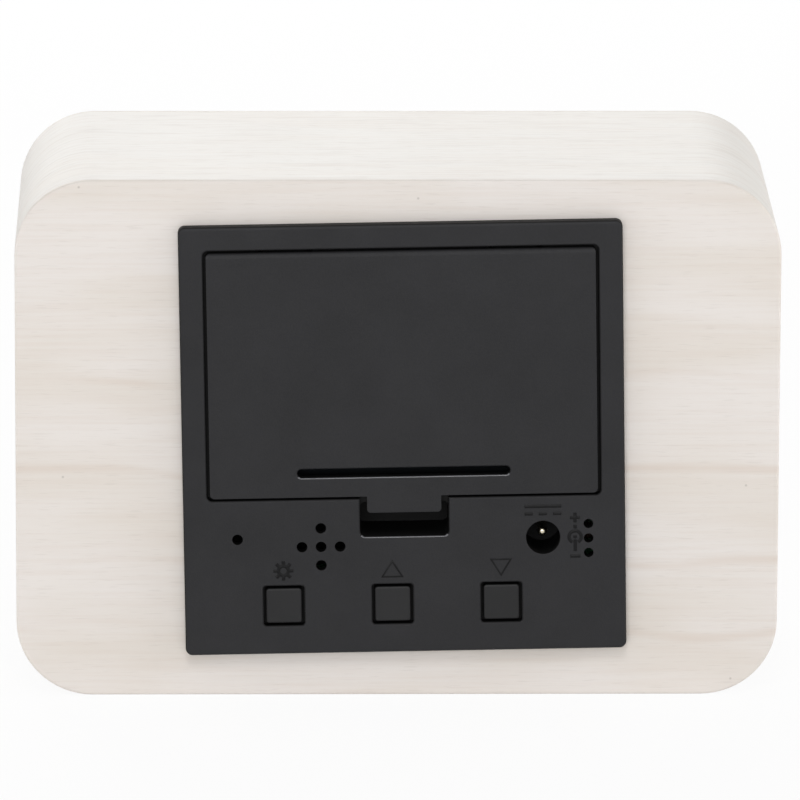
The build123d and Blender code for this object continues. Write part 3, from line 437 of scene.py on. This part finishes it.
def moulded_plastic(
    name, colour, grit, relief, roughness, gloss=0.5, ior=1.53, show_face=None, wrap=0.5, wear_and_highlight=1.2,
):
    """Plastic from a steel mould: an even colour, the mould's grit, and edges slightly rounded and paler,
    as wear and as painted highlight.

    Grit and relief are the pits' width and depth in millimetres. Real pits are a few hundredths wide,
    and are drawn coarser so that they show. Where a show face is given, only that face has the grit, as
    far round as its outward cosine stays above the wrap, and every other face is painted a deeper black:
    painted shade in holes and recesses and on side walls and rounded edges.
    """
    material, tree, place = new_finish(name)
    skin, blend = 0.9, 0.3
    cloud = patches(tree, place, 7.0)
    pits = patches(tree, place, grit, detail=1)
    rounded, worn_and_highlit = rounded_edges(tree, 0.18, 0.8, 1)

    shade = add_node(tree, "ShaderNodeMapRange", {0: cloud, 1: 0.3, 2: 0.7})
    dark, pale, worn_and_highlit_colour, painted_shade_colour = [[min(c * level, 1) for c in colour] for level in (0.9, 1.1, wear_and_highlight, 0.06)]
    layers = [(shade, pale), (worn_and_highlit, worn_and_highlit_colour)]
    inputs = {0: pits, 1: 0.3, 2: 0.7, 3: roughness - 0.06, 4: roughness + 0.06}
    dull = add_node(tree, "ShaderNodeMapRange", inputs)
    depth = pits
    if show_face is not None:
        facing = facing_out(tree, wrap, 0.5 + wrap / 2)
        y = add_node(tree, "ShaderNodeSeparateXYZ", {0: place}, "Y")
        inner = show_face / MM - skin
        near = add_node(tree, "ShaderNodeMapRange", {0: y, 1: inner, 2: inner + blend})
        shown = add_node(tree, "ShaderNodeMath", {0: facing, 1: near}, operation="MULTIPLY")
        # Every face but the show face is painted a deeper black: painted shade in holes, recesses, side
        # walls and rounded edges.
        painted_shade_share = add_node(tree, "ShaderNodeMath", {0: 1, 1: shown}, operation="SUBTRACT")
        layers.append((painted_shade_share, painted_shade_colour))
        dull = add_node(tree, "ShaderNodeMix", {0: painted_shade_share, 2: dull, 3: 0.6})
        depth = add_node(tree, "ShaderNodeMath", {0: pits, 1: shown}, operation="MULTIPLY")

    polish = add_node(tree, "ShaderNodeMath", {0: worn_and_highlit, 1: 0.1}, operation="MULTIPLY")
    dull = add_node(tree, "ShaderNodeMath", {0: dull, 1: polish}, operation="SUBTRACT")
    inputs = {"Strength": 0.6, "Distance": relief * MM, "Height": depth, "Normal": rounded}
    bump = add_node(tree, "ShaderNodeBump", inputs)
    inputs = {"Roughness": dull, "Normal": bump, "IOR": ior, "Specular IOR Level": gloss}
    return end_finish(material, dark, layers, inputs)


def worked_metal(name, colour, streak, roughness, felt=None):
    """Drawn, turned or plated metal: faint streaks along X that shift its shine, and a few duller clouds.

    Streak is their width in millimetres. Real ones are a few hundredths wide, and are drawn coarser so
    that they show. A felt colour covers the faces that look out of the panel, as on a microphone.
    """
    material, tree, place = new_finish(name)
    stretch = 12
    cloud = patches(tree, place, 1.6)
    drawn = patches(tree, place, streak * stretch, streak, streak)
    shade = add_node(tree, "ShaderNodeMapRange", {0: cloud, 1: 0.3, 2: 0.7})
    layers = [(shade, colour)]
    inputs = {0: drawn, 1: 0.3, 2: 0.7, 3: roughness - 0.08, 4: roughness + 0.1}
    dull = add_node(tree, "ShaderNodeMapRange", inputs)
    metallic = 1
    if felt:
        covered = facing_out(tree, 0.8, 0.9)
        layers.append((covered, felt))
        metallic = add_node(tree, "ShaderNodeMath", {0: 1, 1: covered}, operation="SUBTRACT")
        dull = add_node(tree, "ShaderNodeMix", {0: covered, 2: dull, 3: 0.95})
    bump = add_node(tree, "ShaderNodeBump", {"Strength": 0.3, "Distance": 0.01 * MM, "Height": drawn})
    inputs = {"Metallic": metallic, "Roughness": dull, "Normal": bump}
    return end_finish(material, [c * 0.85 for c in colour], layers, inputs)


def pressed_fibreboard(name):
    """Wood fibres pressed with resin and then routed: brown felt with pale and dark fibres, quite dull.

    Real fibres are under a tenth of a millimetre wide, and are drawn coarser so that they show.
    """
    material, tree, place = new_finish(name)
    cloud = patches(tree, place, 5.0)
    fibres = {0: patches(tree, place, 1.4, 0.22, 0.5), 1: patches(tree, place, 0.3, 1.6, 0.2)}
    felt = add_node(tree, "ShaderNodeMath", fibres, operation="MAXIMUM")
    strands = add_node(tree, "ShaderNodeMapRange", {0: felt, 1: 0.52, 2: 0.72, 4: 0.7})
    layers = [(cloud, linear("957250")), (strands, linear("CBAA82"))]
    bump = add_node(tree, "ShaderNodeBump", {"Strength": 0.6, "Distance": 0.06 * MM, "Height": felt})
    dull = add_node(tree, "ShaderNodeMapRange", {0: felt, 3: 0.8, 4: 0.95})
    return end_finish(material, linear("A88560"), layers, {"Roughness": dull, "Normal": bump, "IOR": 1.5})


def masked_circuit_board(name, look):
    """Glass-fibre board, etched and dipped in solder mask: glossy green with paler raised copper tracks."""
    material, tree, place = new_finish(name)
    inputs = {"Vector": place, "Scale": MM / look.track_pitch, "Randomness": 0.55}
    cells = add_node(tree, "ShaderNodeTexVoronoi", inputs, "Distance", feature="F1", distance="CHEBYCHEV")
    tracks = add_node(tree, "ShaderNodeMapRange", {0: cells, 1: 0.34, 2: 0.42})
    pads = add_node(tree, "ShaderNodeMapRange", {0: cells, 1: 0.12, 2: 0.09})
    copper = add_node(tree, "ShaderNodeMath", {0: tracks, 1: pads}, operation="MAXIMUM")
    layers = [(copper, linear("3C8357")), (pads, linear("C2C4BE"))]
    bump = add_node(tree, "ShaderNodeBump", {"Strength": 0.5, "Distance": 0.035 * MM, "Height": copper})
    dull = add_node(tree, "ShaderNodeMapRange", {0: copper, 3: 0.28, 4: 0.36})
    return end_finish(material, look.board_colour, layers, {"Roughness": dull, "Normal": bump, "IOR": 1.55})


def shrunk_sleeve(name, look, low, high):
    """Printed film shrunk round the cells: satin, plain, with a pale band at each plus end.

    The cells lie head to tail, so the middle row has its band at the other end.
    """
    material, tree, place = new_finish(name)
    rows = 3
    x, z = [add_node(tree, "ShaderNodeSeparateXYZ", {0: place}, axis) for axis in "XZ"]
    across = add_node(tree, "ShaderNodeMapRange", {0: x, 1: low.x / MM, 2: high.x / MM})
    row = add_node(tree, "ShaderNodeMapRange", {0: z, 1: low.z / MM, 2: high.z / MM, 4: rows})
    off = add_node(tree, "ShaderNodeMath", {0: row, 1: rows / 2}, operation="SUBTRACT")
    off = add_node(tree, "ShaderNodeMath", {0: off}, operation="ABSOLUTE")
    outer = add_node(tree, "ShaderNodeMath", {0: off, 1: 0.5}, operation="GREATER_THAN")
    near = add_node(tree, "ShaderNodeMath", {0: across, 1: 1 - look.band_share}, operation="GREATER_THAN")
    far = add_node(tree, "ShaderNodeMath", {0: across, 1: look.band_share}, operation="LESS_THAN")
    band = add_node(tree, "ShaderNodeMix", {0: outer, 2: far, 3: near})
    cloud = patches(tree, place, 3.0)
    layers = [(cloud, [c * 0.85 for c in look.sleeve_colour]), (band, look.band_colour)]
    dull = add_node(tree, "ShaderNodeMapRange", {0: cloud, 3: 0.24, 4: 0.36})
    bump = add_node(tree, "ShaderNodeBump", {"Strength": 0.2, "Distance": 0.03 * MM, "Height": cloud})
    return end_finish(material, look.sleeve_colour, layers, {"Roughness": dull, "Normal": bump, "IOR": 1.54})


def painted_board(name, look):
    """White paint rolled on a board: plain white to the eye, with the soft shadow of what stands on it."""
    material, tree, place = new_finish(name)
    stipple = patches(tree, place, 4.0, detail=3)
    bump = add_node(tree, "ShaderNodeBump", {"Strength": 0.1, "Distance": 0.05 * MM, "Height": stipple})
    inputs = {"Base Color": look.floor_colour, "Roughness": 0.9, "Normal": bump, "Specular IOR Level": 0}
    paint = add_node(tree, "ShaderNodeBsdfPrincipled", inputs)
    white = add_node(tree, "ShaderNodeEmission", {"Color": (1, 1, 1), "Strength": 1})
    inputs = {0: seen_rays(tree), 1: look.floor_glow}
    share = add_node(tree, "ShaderNodeMath", inputs, operation="MULTIPLY")
    mixed = add_node(tree, "ShaderNodeMixShader", {0: share, 1: paint, 2: white})
    add_node(tree, "ShaderNodeOutputMaterial", {"Surface": mixed})
    return material


def dress(material, *nodes):
    """Puts a finish on CAD solids in place of the one they were packed with."""
    for name in nodes:
        slots = frame["nodes"][name].material_slots
        if not slots:
            raise RuntimeError(f"{name} has no material slot to dress")
        for slot in slots:
            slot.material = material


def middle(node):
    """The middle of a CAD solid's box."""
    low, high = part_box(node)
    return (low + high) / 2


def on_panel(about, across, rise, depth):
    """The point this far across and up the panel from another, at this depth along Y."""
    point = about + PANEL_RIGHT * across + PANEL_UP * rise
    point.y = depth
    return point


def add_piece(data, material, body="case"):
    """Adds a piece named as its data, with its finish and the body that it rides on."""
    piece = bpy.data.objects.new(data.name, data)
    bpy.context.scene.collection.objects.link(piece)
    data.materials.append(material)
    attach(piece, body)
    return piece


def round_bars(name, runs, radius, kind="POLY"):
    """Round bars along runs of points, each given with whether it closes on itself."""
    curve = bpy.data.curves.new(name, "CURVE")
    curve.dimensions = "3D"
    curve.bevel_depth = radius
    curve.bevel_resolution = 3
    curve.use_fill_caps = True
    for points, closed in runs:
        line = curve.splines.new(kind)
        line.points.add(len(points) - 1)
        for knot, point in zip(line.points, points):
            knot.co = (*point, 1)
        line.use_cyclic_u = closed
        line.use_smooth = True
        if kind == "NURBS":
            line.order_u = 3
            line.use_endpoint_u = True
    return curve


def arc(radius, start, end, count=24):
    """Points along an arc about the sign's middle."""
    angles = [start + (end - start) * step / count for step in range(count + 1)]
    return [(radius * cos(angle), radius * sin(angle)) for angle in angles]


class CLOCK_OT_case(Operator):
    """Dress the fibreboard block, its veneers and the tape behind the panel"""

    bl_idname = "clock.case"
    bl_label = "Case and Veneers"

    def execute(self, context):
        look = context.scene.clock_veneer
        dress(whitewashed_veneer("Whitewashed veneer sheet", look, True), "front_veneer", "back_veneer")
        dress(whitewashed_veneer("Whitewashed veneer strip", look, False), "edge_veneer", "base_veneer")
        dress(pressed_fibreboard("Routed fibreboard"), "body_core")
        # Closed-cell foam: dull grey-black with open pores along the cut edge.
        tape = moulded_plastic(
            "Polyethylene foam tape", linear("33322F"), grit=0.35, relief=0.08, roughness=0.88, gloss=0.25)
        dress(tape, "panel_adhesive")
        return {"FINISHED"}


class CLOCK_OT_panel(Operator):
    """Dress the service panel, its lid and its buttons"""

    bl_idname = "clock.panel"
    bl_label = "Service Panel"

    def execute(self, context):
        look = context.scene.clock_panel
        grit = look.spark_size / MM
        low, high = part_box("rear_panel")
        # ABS from a spark-eroded mould: a fine even pitting that spreads every highlight. Its faces away
        # from the show face are painted a deeper black, as painted shade.
        panel_abs = moulded_plastic(
            "Black ABS", look.panel_colour, grit, relief=0.02, roughness=0.55, gloss=0.2,
            show_face=high.y, wrap=0.6)
        dress(panel_abs, "rear_panel")
        # The lid's grit runs on over its rounded nose. Its edges are drawn paler than the panel's, partly
        # wear and partly a painted highlight.
        lid_abs = moulded_plastic(
            "Black ABS lid", look.panel_colour, grit, relief=0.02, roughness=0.55, gloss=0.2,
            show_face=high.y, wrap=0.2, wear_and_highlight=1.7)
        dress(lid_abs, "battery_lid")
        # The buttons' mould is polished a little further, so they are satin. Their edges are drawn paler
        # still, partly wear and partly a painted highlight.
        button_abs = moulded_plastic(
            "Satin black ABS", look.button_colour, grit, relief=0.008, roughness=0.45, gloss=0.2,
            show_face=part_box("set_button")[1].y, wrap=0.3, wear_and_highlight=1.9)
        dress(button_abs, "set_button", "up_button", "down_button")
        # Glass-filled nylon: dull black with a faint cloud from the filler.
        nylon = moulded_plastic("Black nylon", linear("1C1C1D"), grit=0.3, relief=0.012, roughness=0.5)
        dress(nylon, "set_plunger", "up_plunger", "down_plunger", "switch_bases")

        # The lower lips of the slot and the notch are rounded and smooth, and drawn pale grey: a painted
        # highlight.
        lip_highlight_abs = moulded_plastic(
            "Black ABS with painted highlight", linear("66666A"), grit=0.6, relief=0.002, roughness=0.25)
        centre = (low + high) / 2
        radius = look.lip_radius
        for name, body, length, drop, corner in (
            ("slot_lip", "lid", look.slot_length, look.slot_drop, 0.6 * MM),
            ("notch_lip", "case", look.notch_width, look.notch_drop, 0.7 * MM),
        ):
            reach = length / 2 - corner
            right = [(reach + x, y) for x, y in arc(corner, -tau / 4, -tau / 12, count=8)]
            left = [(-x, y) for x, y in reversed(right)]
            level = corner - drop - radius
            points = [on_panel(centre, x, level + y, high.y - radius) for x, y in left + right]
            add_piece(round_bars(name, [(points, False)], radius), lip_highlight_abs, body)
        return {"FINISHED"}


class CLOCK_OT_signs(Operator):
    """Add the raised signs over the buttons and beside the inlet"""

    bl_idname = "clock.signs"
    bl_label = "Raised Signs"

    def gear(self, size):
        """A ring with teeth, for the settings."""
        teeth, ring, root = 8, size * 0.5, size * 0.62
        runs = [(arc(ring, 0, tau)[:-1], True)]
        for tooth in range(teeth):
            angle = tau * tooth / teeth
            runs.append(([(reach * cos(angle), reach * sin(angle)) for reach in (root, size)], False))
        return runs

    def triangle(self, size, up):
        """A triangle that points up, for 1, or down, for -1."""
        rise = size * 0.8 * up
        return [([(-size, -rise), (size, -rise), (0, rise)], True)]

    def direct_current(self):
        """A line over three dashes."""
        half, gap = 2.4 * MM, 0.5 * MM
        dash, step = half * 0.22, half * 0.78
        dashes = [([(at - dash, -gap), (at + dash, -gap)], False) for at in (-step, 0, step)]
        return [([(-half, gap), (half, gap)], False), *dashes]

    def positive_centre(self, radius):
        """A dot in an open ring, with a plus sign joined to the ring and a minus sign to the dot."""
        arm, ring, spread = 0.65 * MM, 0.8 * MM, 2.6 * MM
        return [
            ([(-arm, spread), (arm, spread)], False),
            ([(0, spread - arm), (0, spread + arm)], False),
            ([(-arm, -spread), (arm, -spread)], False),
            (arc(ring, radians(-60), radians(240)), False),
            ([(0, -radius / 2), (0, radius / 2)], False),
            ([(0, ring + radius), (0, spread - arm - radius)], False),
            ([(0, -radius), (0, -spread + 2 * radius)], False),
        ]

    def execute(self, context):
        look = context.scene.clock_panel
        radius = look.sign_stroke / 2
        size = look.sign_height / 2
        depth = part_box("rear_panel")[1].y + look.sign_relief - radius
        # The signs are smooth, and drawn a deeper black than the panel: painted shade standing in for the
        # shading of their raised strokes.
        sign_abs_painted_shade = moulded_plastic(
            "Polished black ABS with painted shade", linear("111112"), grit=0.3, relief=0.004, roughness=0.4, gloss=0.12)
        button_rise, supply_rise = look.button_sign_rise, look.supply_sign_rise
        for name, runs, node, across, rise in (
            ("set_sign", self.gear(size), "set_button", 0, button_rise),
            ("up_sign", self.triangle(size, 1), "up_button", 0, button_rise),
            ("down_sign", self.triangle(size, -1), "down_button", 0, button_rise),
            ("supply_sign", self.direct_current(), "dc_jack_pin", 0, supply_rise),
            ("polarity_sign", self.positive_centre(radius), "dc_jack_pin", look.polarity_sign_offset, 0),
        ):
            about = middle(node)
            placed = [
                ([on_panel(about, across + x, rise + y, depth) for x, y in run], closed)
                for run, closed in runs
            ]
            add_piece(round_bars(name, placed, radius), sign_abs_painted_shade)
        return {"FINISHED"}


class CLOCK_OT_inlet(Operator):
    """Dress the power inlet, the microphone, the thermistor and the buzzer"""

    bl_idname = "clock.inlet"
    bl_label = "Inlet and Sensors"

    def execute(self, context):
        # Glass-filled nylon: dull black, smooth inside the bore. It is drawn blacker than the nylon itself:
        # painted shade in the inlet's bore.
        nylon = moulded_plastic(
            "Inlet nylon", linear("0C0C0D"), grit=0.3, relief=0.01, roughness=0.6, gloss=0.2)
        dress(nylon, "dc_jack_housing", "controller_chip", "coin_cell_holder")
        # Pressed phenolic resin: quite dull, so that nothing shows through the sound holes.
        phenolic = moulded_plastic(
            "Phenolic buzzer case", linear("0A0A0A"), grit=0.4, relief=0.01, roughness=0.8, gloss=0.15)
        dress(phenolic, "buzzer")
        # Turned brass under thin nickel: pale, with fine tool marks.
        dress(worked_metal("Nickelled brass", linear("DAD2BC"), streak=0.08, roughness=0.24), "dc_jack_pin")
        # Deep-drawn aluminium cans: pale grey and satin. The microphone's has black felt over its port.
        aluminium = linear("D5D7D9")
        can = worked_metal("Drawn aluminium", aluminium, streak=0.1, roughness=0.32)
        dress(can, "smoothing_capacitor", "crystal")
        felted = worked_metal(
            "Drawn aluminium with felt", aluminium, streak=0.1, roughness=0.32, felt=linear("050505"))
        dress(felted, "microphone")
        # Dipped epoxy: a glossy dark bead with slight sags.
        bead = moulded_plastic(
            "Dipped epoxy", linear("2B211C"), grit=0.8, relief=0.02, roughness=0.2, ior=1.55)
        dress(bead, "thermistor")
        return {"FINISHED"}


class CLOCK_OT_cells(Operator):
    """Dress the cells and their contacts, and wind the battery springs"""

    bl_idname = "clock.cells"
    bl_label = "Cells and Springs"

    def execute(self, context):
        look = context.scene.clock_inside
        dress(shrunk_sleeve("Shrunk cell sleeve", look, *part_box("cell_jackets")), "cell_jackets")
        # Drawn steel cans with a nickel wash: bright, slightly yellow.
        steel = worked_metal("Nickel-washed steel", linear("CFCCC4"), streak=0.12, roughness=0.28)
        dress(steel, "battery_cells", "coin_cell")
        # Spring strip and wire, plated bright.
        nickel = worked_metal("Bright nickel plate", linear("C9C6BE"), streak=0.1, roughness=0.2)
        dress(nickel, "positive_contact", "negative_contact", "contact_bridge_1", "contact_bridge_2")
        dress(nickel, "chip_leads")

        # The first and last rows have their contacts at opposite ends, and each row turns the other way.
        first, last = middle("positive_contact"), middle("negative_contact")
        axis_y = middle("battery_cells").y
        contact_half, seat_gap, steps_per_turn = 0.2 * MM, 0.1 * MM, 24
        wire = look.spring_wire / 2
        centre = (first + last) / 2
        half_room = (last - first).dot(PANEL_RIGHT) / 2
        row_step = (first - last).dot(PANEL_UP) / 2
        steps = int(look.spring_turns * steps_per_turn)
        runs = []
        for row, side in ((1, 1), (0, -1), (-1, 1)):
            seat = on_panel(centre, side * (half_room - contact_half), row * row_step, axis_y)
            points = []
            for step in range(steps + 1):
                share = step / steps
                angle = tau * look.spring_turns * share
                reach = (look.spring_foot + (look.spring_tip - look.spring_foot) * share) / 2
                rise = wire + seat_gap + (look.spring_length - 2 * wire) * share
                points.append(
                    seat - PANEL_RIGHT * side * rise
                    - PANEL_UP * side * reach * cos(angle) + PANEL_OUT * reach * sin(angle))
            runs.append((points, False))
        springs = add_piece(round_bars("battery_spring_coils", runs, wire), nickel)
        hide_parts("battery_springs")
        return {"FINISHED"}


class CLOCK_OT_boards(Operator):
    """Dress the boards, the display and their screws, and run the wiring"""

    bl_idname = "clock.boards"
    bl_label = "Boards and Wiring"

    def execute(self, context):
        look = context.scene.clock_inside
        dress(masked_circuit_board("Masked circuit board", look), "control_board", "display_board")
        # Cold-headed steel screws, zinc plated: cool grey with a soft cloud.
        zinc = worked_metal("Zinc-plated steel", linear("B9BBBE"), streak=0.1, roughness=0.3)
        dress(zinc, "control_screws", "display_screws")
        # Nylon headers and the reflector: moulded white, a little paler along the edges.
        white = moulded_plastic("White nylon", linear("E8E6E0"), grit=0.4, relief=0.006, roughness=0.38)
        dress(white, "control_header", "display_header", "display_reflector")
        # Cast epoxy lamps: milky and glossy.
        milky = moulded_plastic(
            "Milky cast epoxy", linear("E9E7D8"), grit=0.6, relief=0.005, roughness=0.18, ior=1.55)
        dress(milky, "segment_leds")
        # Extruded polyester film with a matt face.
        film = moulded_plastic(
            "Matt polyester film", linear("F0EFEA"), grit=0.25, relief=0.006, roughness=0.62, ior=1.6)
        dress(film, "display_diffuser")

        radius = look.lead_diameter / 2
        board_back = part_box("control_board")[0].y
        for name, node, contact, colour, slot in (
            ("red_lead_wire", "red_lead", "positive_contact", "A81C1A", "red_wire"),
            ("black_lead_wire", "black_lead", "negative_contact", "1A1A1B", "black_wire"),
        ):
            # Extruded PVC: smooth and glossy.
            pvc = moulded_plastic(
                f"PVC insulation {slot}", linear(colour), grit=0.7, relief=0.006, roughness=0.32, ior=1.54)
            low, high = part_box(node)
            tail = middle(contact)
            loop_y = low.y + radius
            end_x = low.x + radius if tail.x > 0 else high.x - radius
            end_z = low.z + radius
            route = [
                (tail.x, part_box(contact)[0].y, tail.z), (tail.x, loop_y, tail.z),
                (end_x, loop_y, end_z), (end_x, board_back, end_z),
            ]
            wire = add_piece(round_bars(name, [(route, False)], radius, "NURBS"), pvc)
            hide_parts(node)

        # PVC ribbon: ridged, one round wire beside the next.
        grey = moulded_plastic(
            "Grey PVC ribbon", linear("9A9DA1"), grit=0.6, relief=0.006, roughness=0.4, ior=1.54)
        low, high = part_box("ribbon_cable")
        pitch = (high.x - low.x) / look.ribbon_ways
        start_z, end_z = middle("control_header").z, middle("display_header").z
        lead_in = (high.y - low.y) * 0.3
        runs = []
        for way in range(look.ribbon_ways):
            x = low.x + pitch * (way + 0.5)
            route = [
                (x, high.y, start_z), (x, high.y - lead_in, start_z),
                (x, low.y + lead_in, end_z), (x, low.y, end_z),
            ]
            runs.append((route, False))
        ribbon = add_piece(round_bars("ribbon_wires", runs, pitch / 2, "NURBS"), grey)
        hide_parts("ribbon_cable")
        return {"FINISHED"}


class CLOCK_OT_digits(Operator):
    """Light the time through the front veneer"""

    bl_idname = "clock.digits"
    bl_label = "Lit Digits"

    # The figures that light each flat bar, by its level, and each upright bar, by its side and level.
    FLAT = {-1: "0235689", 0: "2345689", 1: "02356789"}
    UPRIGHT = {(-1, -1): "0268", (-1, 1): "045689", (1, -1): "013456789", (1, 1): "01234789"}

    def lit_bars(self, look, centre):
        """The lit bars' middle lines, as pairs of points across the front."""
        bars = []
        half_w, half_h = look.digit_width / 2, look.digit_height / 2
        end_gap = look.bar_gap + look.bar_width / 2
        for index, figure in enumerate(look.shown_time):
            pair, place = divmod(index, 2)
            x = centre.x + (pair - 0.5) * look.pair_pitch + (place - 0.5) * look.digit_pitch
            for level, lit in self.FLAT.items():
                if figure in lit:
                    z = centre.z + level * half_h
                    reach = half_w - end_gap
                    bars.append(((x - reach, z), (x + reach, z)))
            for (side, level), lit in self.UPRIGHT.items():
                if figure in lit:
                    z = centre.z + level * half_h / 2
                    reach = half_h / 2 - end_gap
                    bars.append(((x + side * half_w, z - reach), (x + side * half_w, z + reach)))
        for rise in (-look.colon_rise, look.colon_rise):
            bars.append(((centre.x, centre.z + rise), (centre.x, centre.z + rise)))
        return [(Vector(start), Vector(end)) for start, end in bars]

    def glow(self, look, bars, spot):
        """How brightly a spot of the front glows: 1 on a lit bar, fading out across the feather."""
        away = look.feather
        for start, end in bars:
            along = end - start
            reach = along.length_squared
            share = max(0, min(1, (spot - start).dot(along) / reach)) if reach else 0
            away = min(away, (start + along * share - spot).length - look.bar_width / 2)
        level = 1 - max(0, away) / look.feather
        return level * level * (3 - 2 * level)

    def execute(self, context):
        look = context.scene.clock_display
        if len(look.shown_time) != 4 or not look.shown_time.isdigit():
            raise ValueError("The time shown needs four figures")
        low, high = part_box("display_diffuser")
        bars = self.lit_bars(look, (low + high) / 2)
        columns = round((high.x - low.x) / look.mesh_step)
        rows = round((high.z - low.z) / look.mesh_step)
        lift = 0.01 * MM
        points, glows, faces = [], [], []
        for row in range(rows + 1):
            for column in range(columns + 1):
                x = low.x + (high.x - low.x) * column / columns
                z = low.z + (high.z - low.z) * row / rows
                points.append((x, cad_low.y - lift, z))
                glows.append(self.glow(look, bars, Vector((x, z))))
        width = columns + 1
        for row in range(rows):
            for corner in range(row * width, row * width + columns):
                faces.append((corner, corner + 1, corner + 1 + width, corner + width))
        mesh = bpy.data.meshes.new("lit_time")
        mesh.from_pydata(points, [], faces)
        mesh.attributes.new("glow", "FLOAT", "POINT").data.foreach_set("value", glows)
        lit_wood = whitewashed_veneer("Lit whitewashed veneer", context.scene.clock_veneer, True, look)
        add_piece(mesh, lit_wood)
        return {"FINISHED"}


class CLOCK_OT_stage(Operator):
    """Set the camera, the floor and the soft studio light"""

    bl_idname = "clock.stage"
    bl_label = "Stage"

    def execute(self, context):
        look = context.scene.clock_stage
        scene = context.scene
        scene.view_settings.view_transform = "Standard"

        lens = bpy.data.cameras.new("Camera")
        lens.lens = look.lens
        lens.sensor_width = 36
        lens.clip_end = 10
        camera = bpy.data.objects.new("Camera", lens)
        sight = Vector(look.camera_aim) - Vector(look.camera_place)
        turn = sight.to_track_quat("-Z", "Y").to_matrix() @ Matrix.Rotation(look.camera_roll, 3, "Z")
        camera.matrix_world = Matrix.Translation(look.camera_place) @ turn.to_4x4()
        scene.collection.objects.link(camera)
        scene.camera = camera

        half = 4.0
        corners = [(-half, -half, 0), (half, -half, 0), (half, half, 0), (-half, half, 0)]
        mesh = bpy.data.meshes.new("floor")
        mesh.from_pydata(corners, [], [(0, 1, 2, 3)])
        mesh.materials.append(painted_board("White painted board", look))
        floor = bpy.data.objects.new("floor", mesh)
        scene.collection.objects.link(floor)

        world = bpy.data.worlds.new("Studio")
        scene.world = world
        world.use_nodes = True
        tree = world.node_tree
        tree.nodes.clear()
        level = add_node(tree, "ShaderNodeMapRange", {0: seen_rays(tree), 3: look.room_level, 4: 1})
        sky = add_node(tree, "ShaderNodeBackground", {"Color": (1, 1, 1), "Strength": level})
        add_node(tree, "ShaderNodeOutputWorld", {"Surface": sky})

        centre = (cad_low + cad_high) / 2
        for name, offset, size, power in (
            ("Key", (0.02, 0.75, 0.85), 0.33, look.key_power),
            ("Back fill", (0.15, 1.3, 0.2), 0.8, look.back_power),
            ("Front fill", (0.15, -1.0, 0.45), 0.8, look.front_power),
            ("Left fill", (-1.0, 0.1, 0.3), 0.6, look.left_power),
            ("Right fill", (1.0, 0.1, 0.3), 0.6, look.right_power),
        ):
            lamp = bpy.data.lights.new(name, "AREA")
            lamp.size = size
            lamp.energy = power
            stand = bpy.data.objects.new(name, lamp)
            place = centre + Vector(offset)
            aim = (centre - place).to_track_quat("-Z", "Y").to_matrix().to_4x4()
            stand.matrix_world = Matrix.Translation(place) @ aim
            scene.collection.objects.link(stand)
        return {"FINISHED"}


class CLOCK_PT_sidebar(Panel):
    """The clock's steps and settings"""

    bl_idname = "CLOCK_PT_sidebar"
    bl_label = "Desk Clock"
    bl_space_type = "VIEW_3D"
    bl_region_type = "UI"
    bl_category = "Clock"

    def draw(self, context):
        for step in STEPS:
            self.layout.operator(step.bl_idname)
        for name, group in GROUPS.items():
            box = self.layout.box()
            box.label(text=group.__doc__)
            for setting in group.__annotations__:
                box.prop(getattr(context.scene, name), setting)


GROUPS = {
    "clock_veneer": ClockVeneer,
    "clock_panel": ClockPanel,
    "clock_display": ClockDisplay,
    "clock_inside": ClockInside,
    "clock_stage": ClockStage,
}
STEPS = (
    CLOCK_OT_case, CLOCK_OT_panel, CLOCK_OT_signs, CLOCK_OT_inlet,
    CLOCK_OT_cells, CLOCK_OT_boards, CLOCK_OT_digits, CLOCK_OT_stage,
)


def register():
    """Registers the settings, the steps and the sidebar."""
    for name, group in GROUPS.items():
        bpy.utils.register_class(group)
        setattr(bpy.types.Scene, name, PointerProperty(type=group))
    for shown in (*STEPS, CLOCK_PT_sidebar):
        bpy.utils.register_class(shown)


def unregister():
    """Takes away all that register added."""
    for shown in (CLOCK_PT_sidebar, *reversed(STEPS)):
        bpy.utils.unregister_class(shown)
    for name, group in reversed(GROUPS.items()):
        delattr(bpy.types.Scene, name)
        bpy.utils.unregister_class(group)


def main():
    """Dresses the clock and sets the stage."""
    register()
    bpy.ops.clock.case()
    bpy.ops.clock.panel()
    bpy.ops.clock.signs()
    bpy.ops.clock.inlet()
    bpy.ops.clock.cells()
    bpy.ops.clock.boards()
    bpy.ops.clock.digits()
    bpy.ops.clock.stage()


if __name__ == "__main__":
    main()
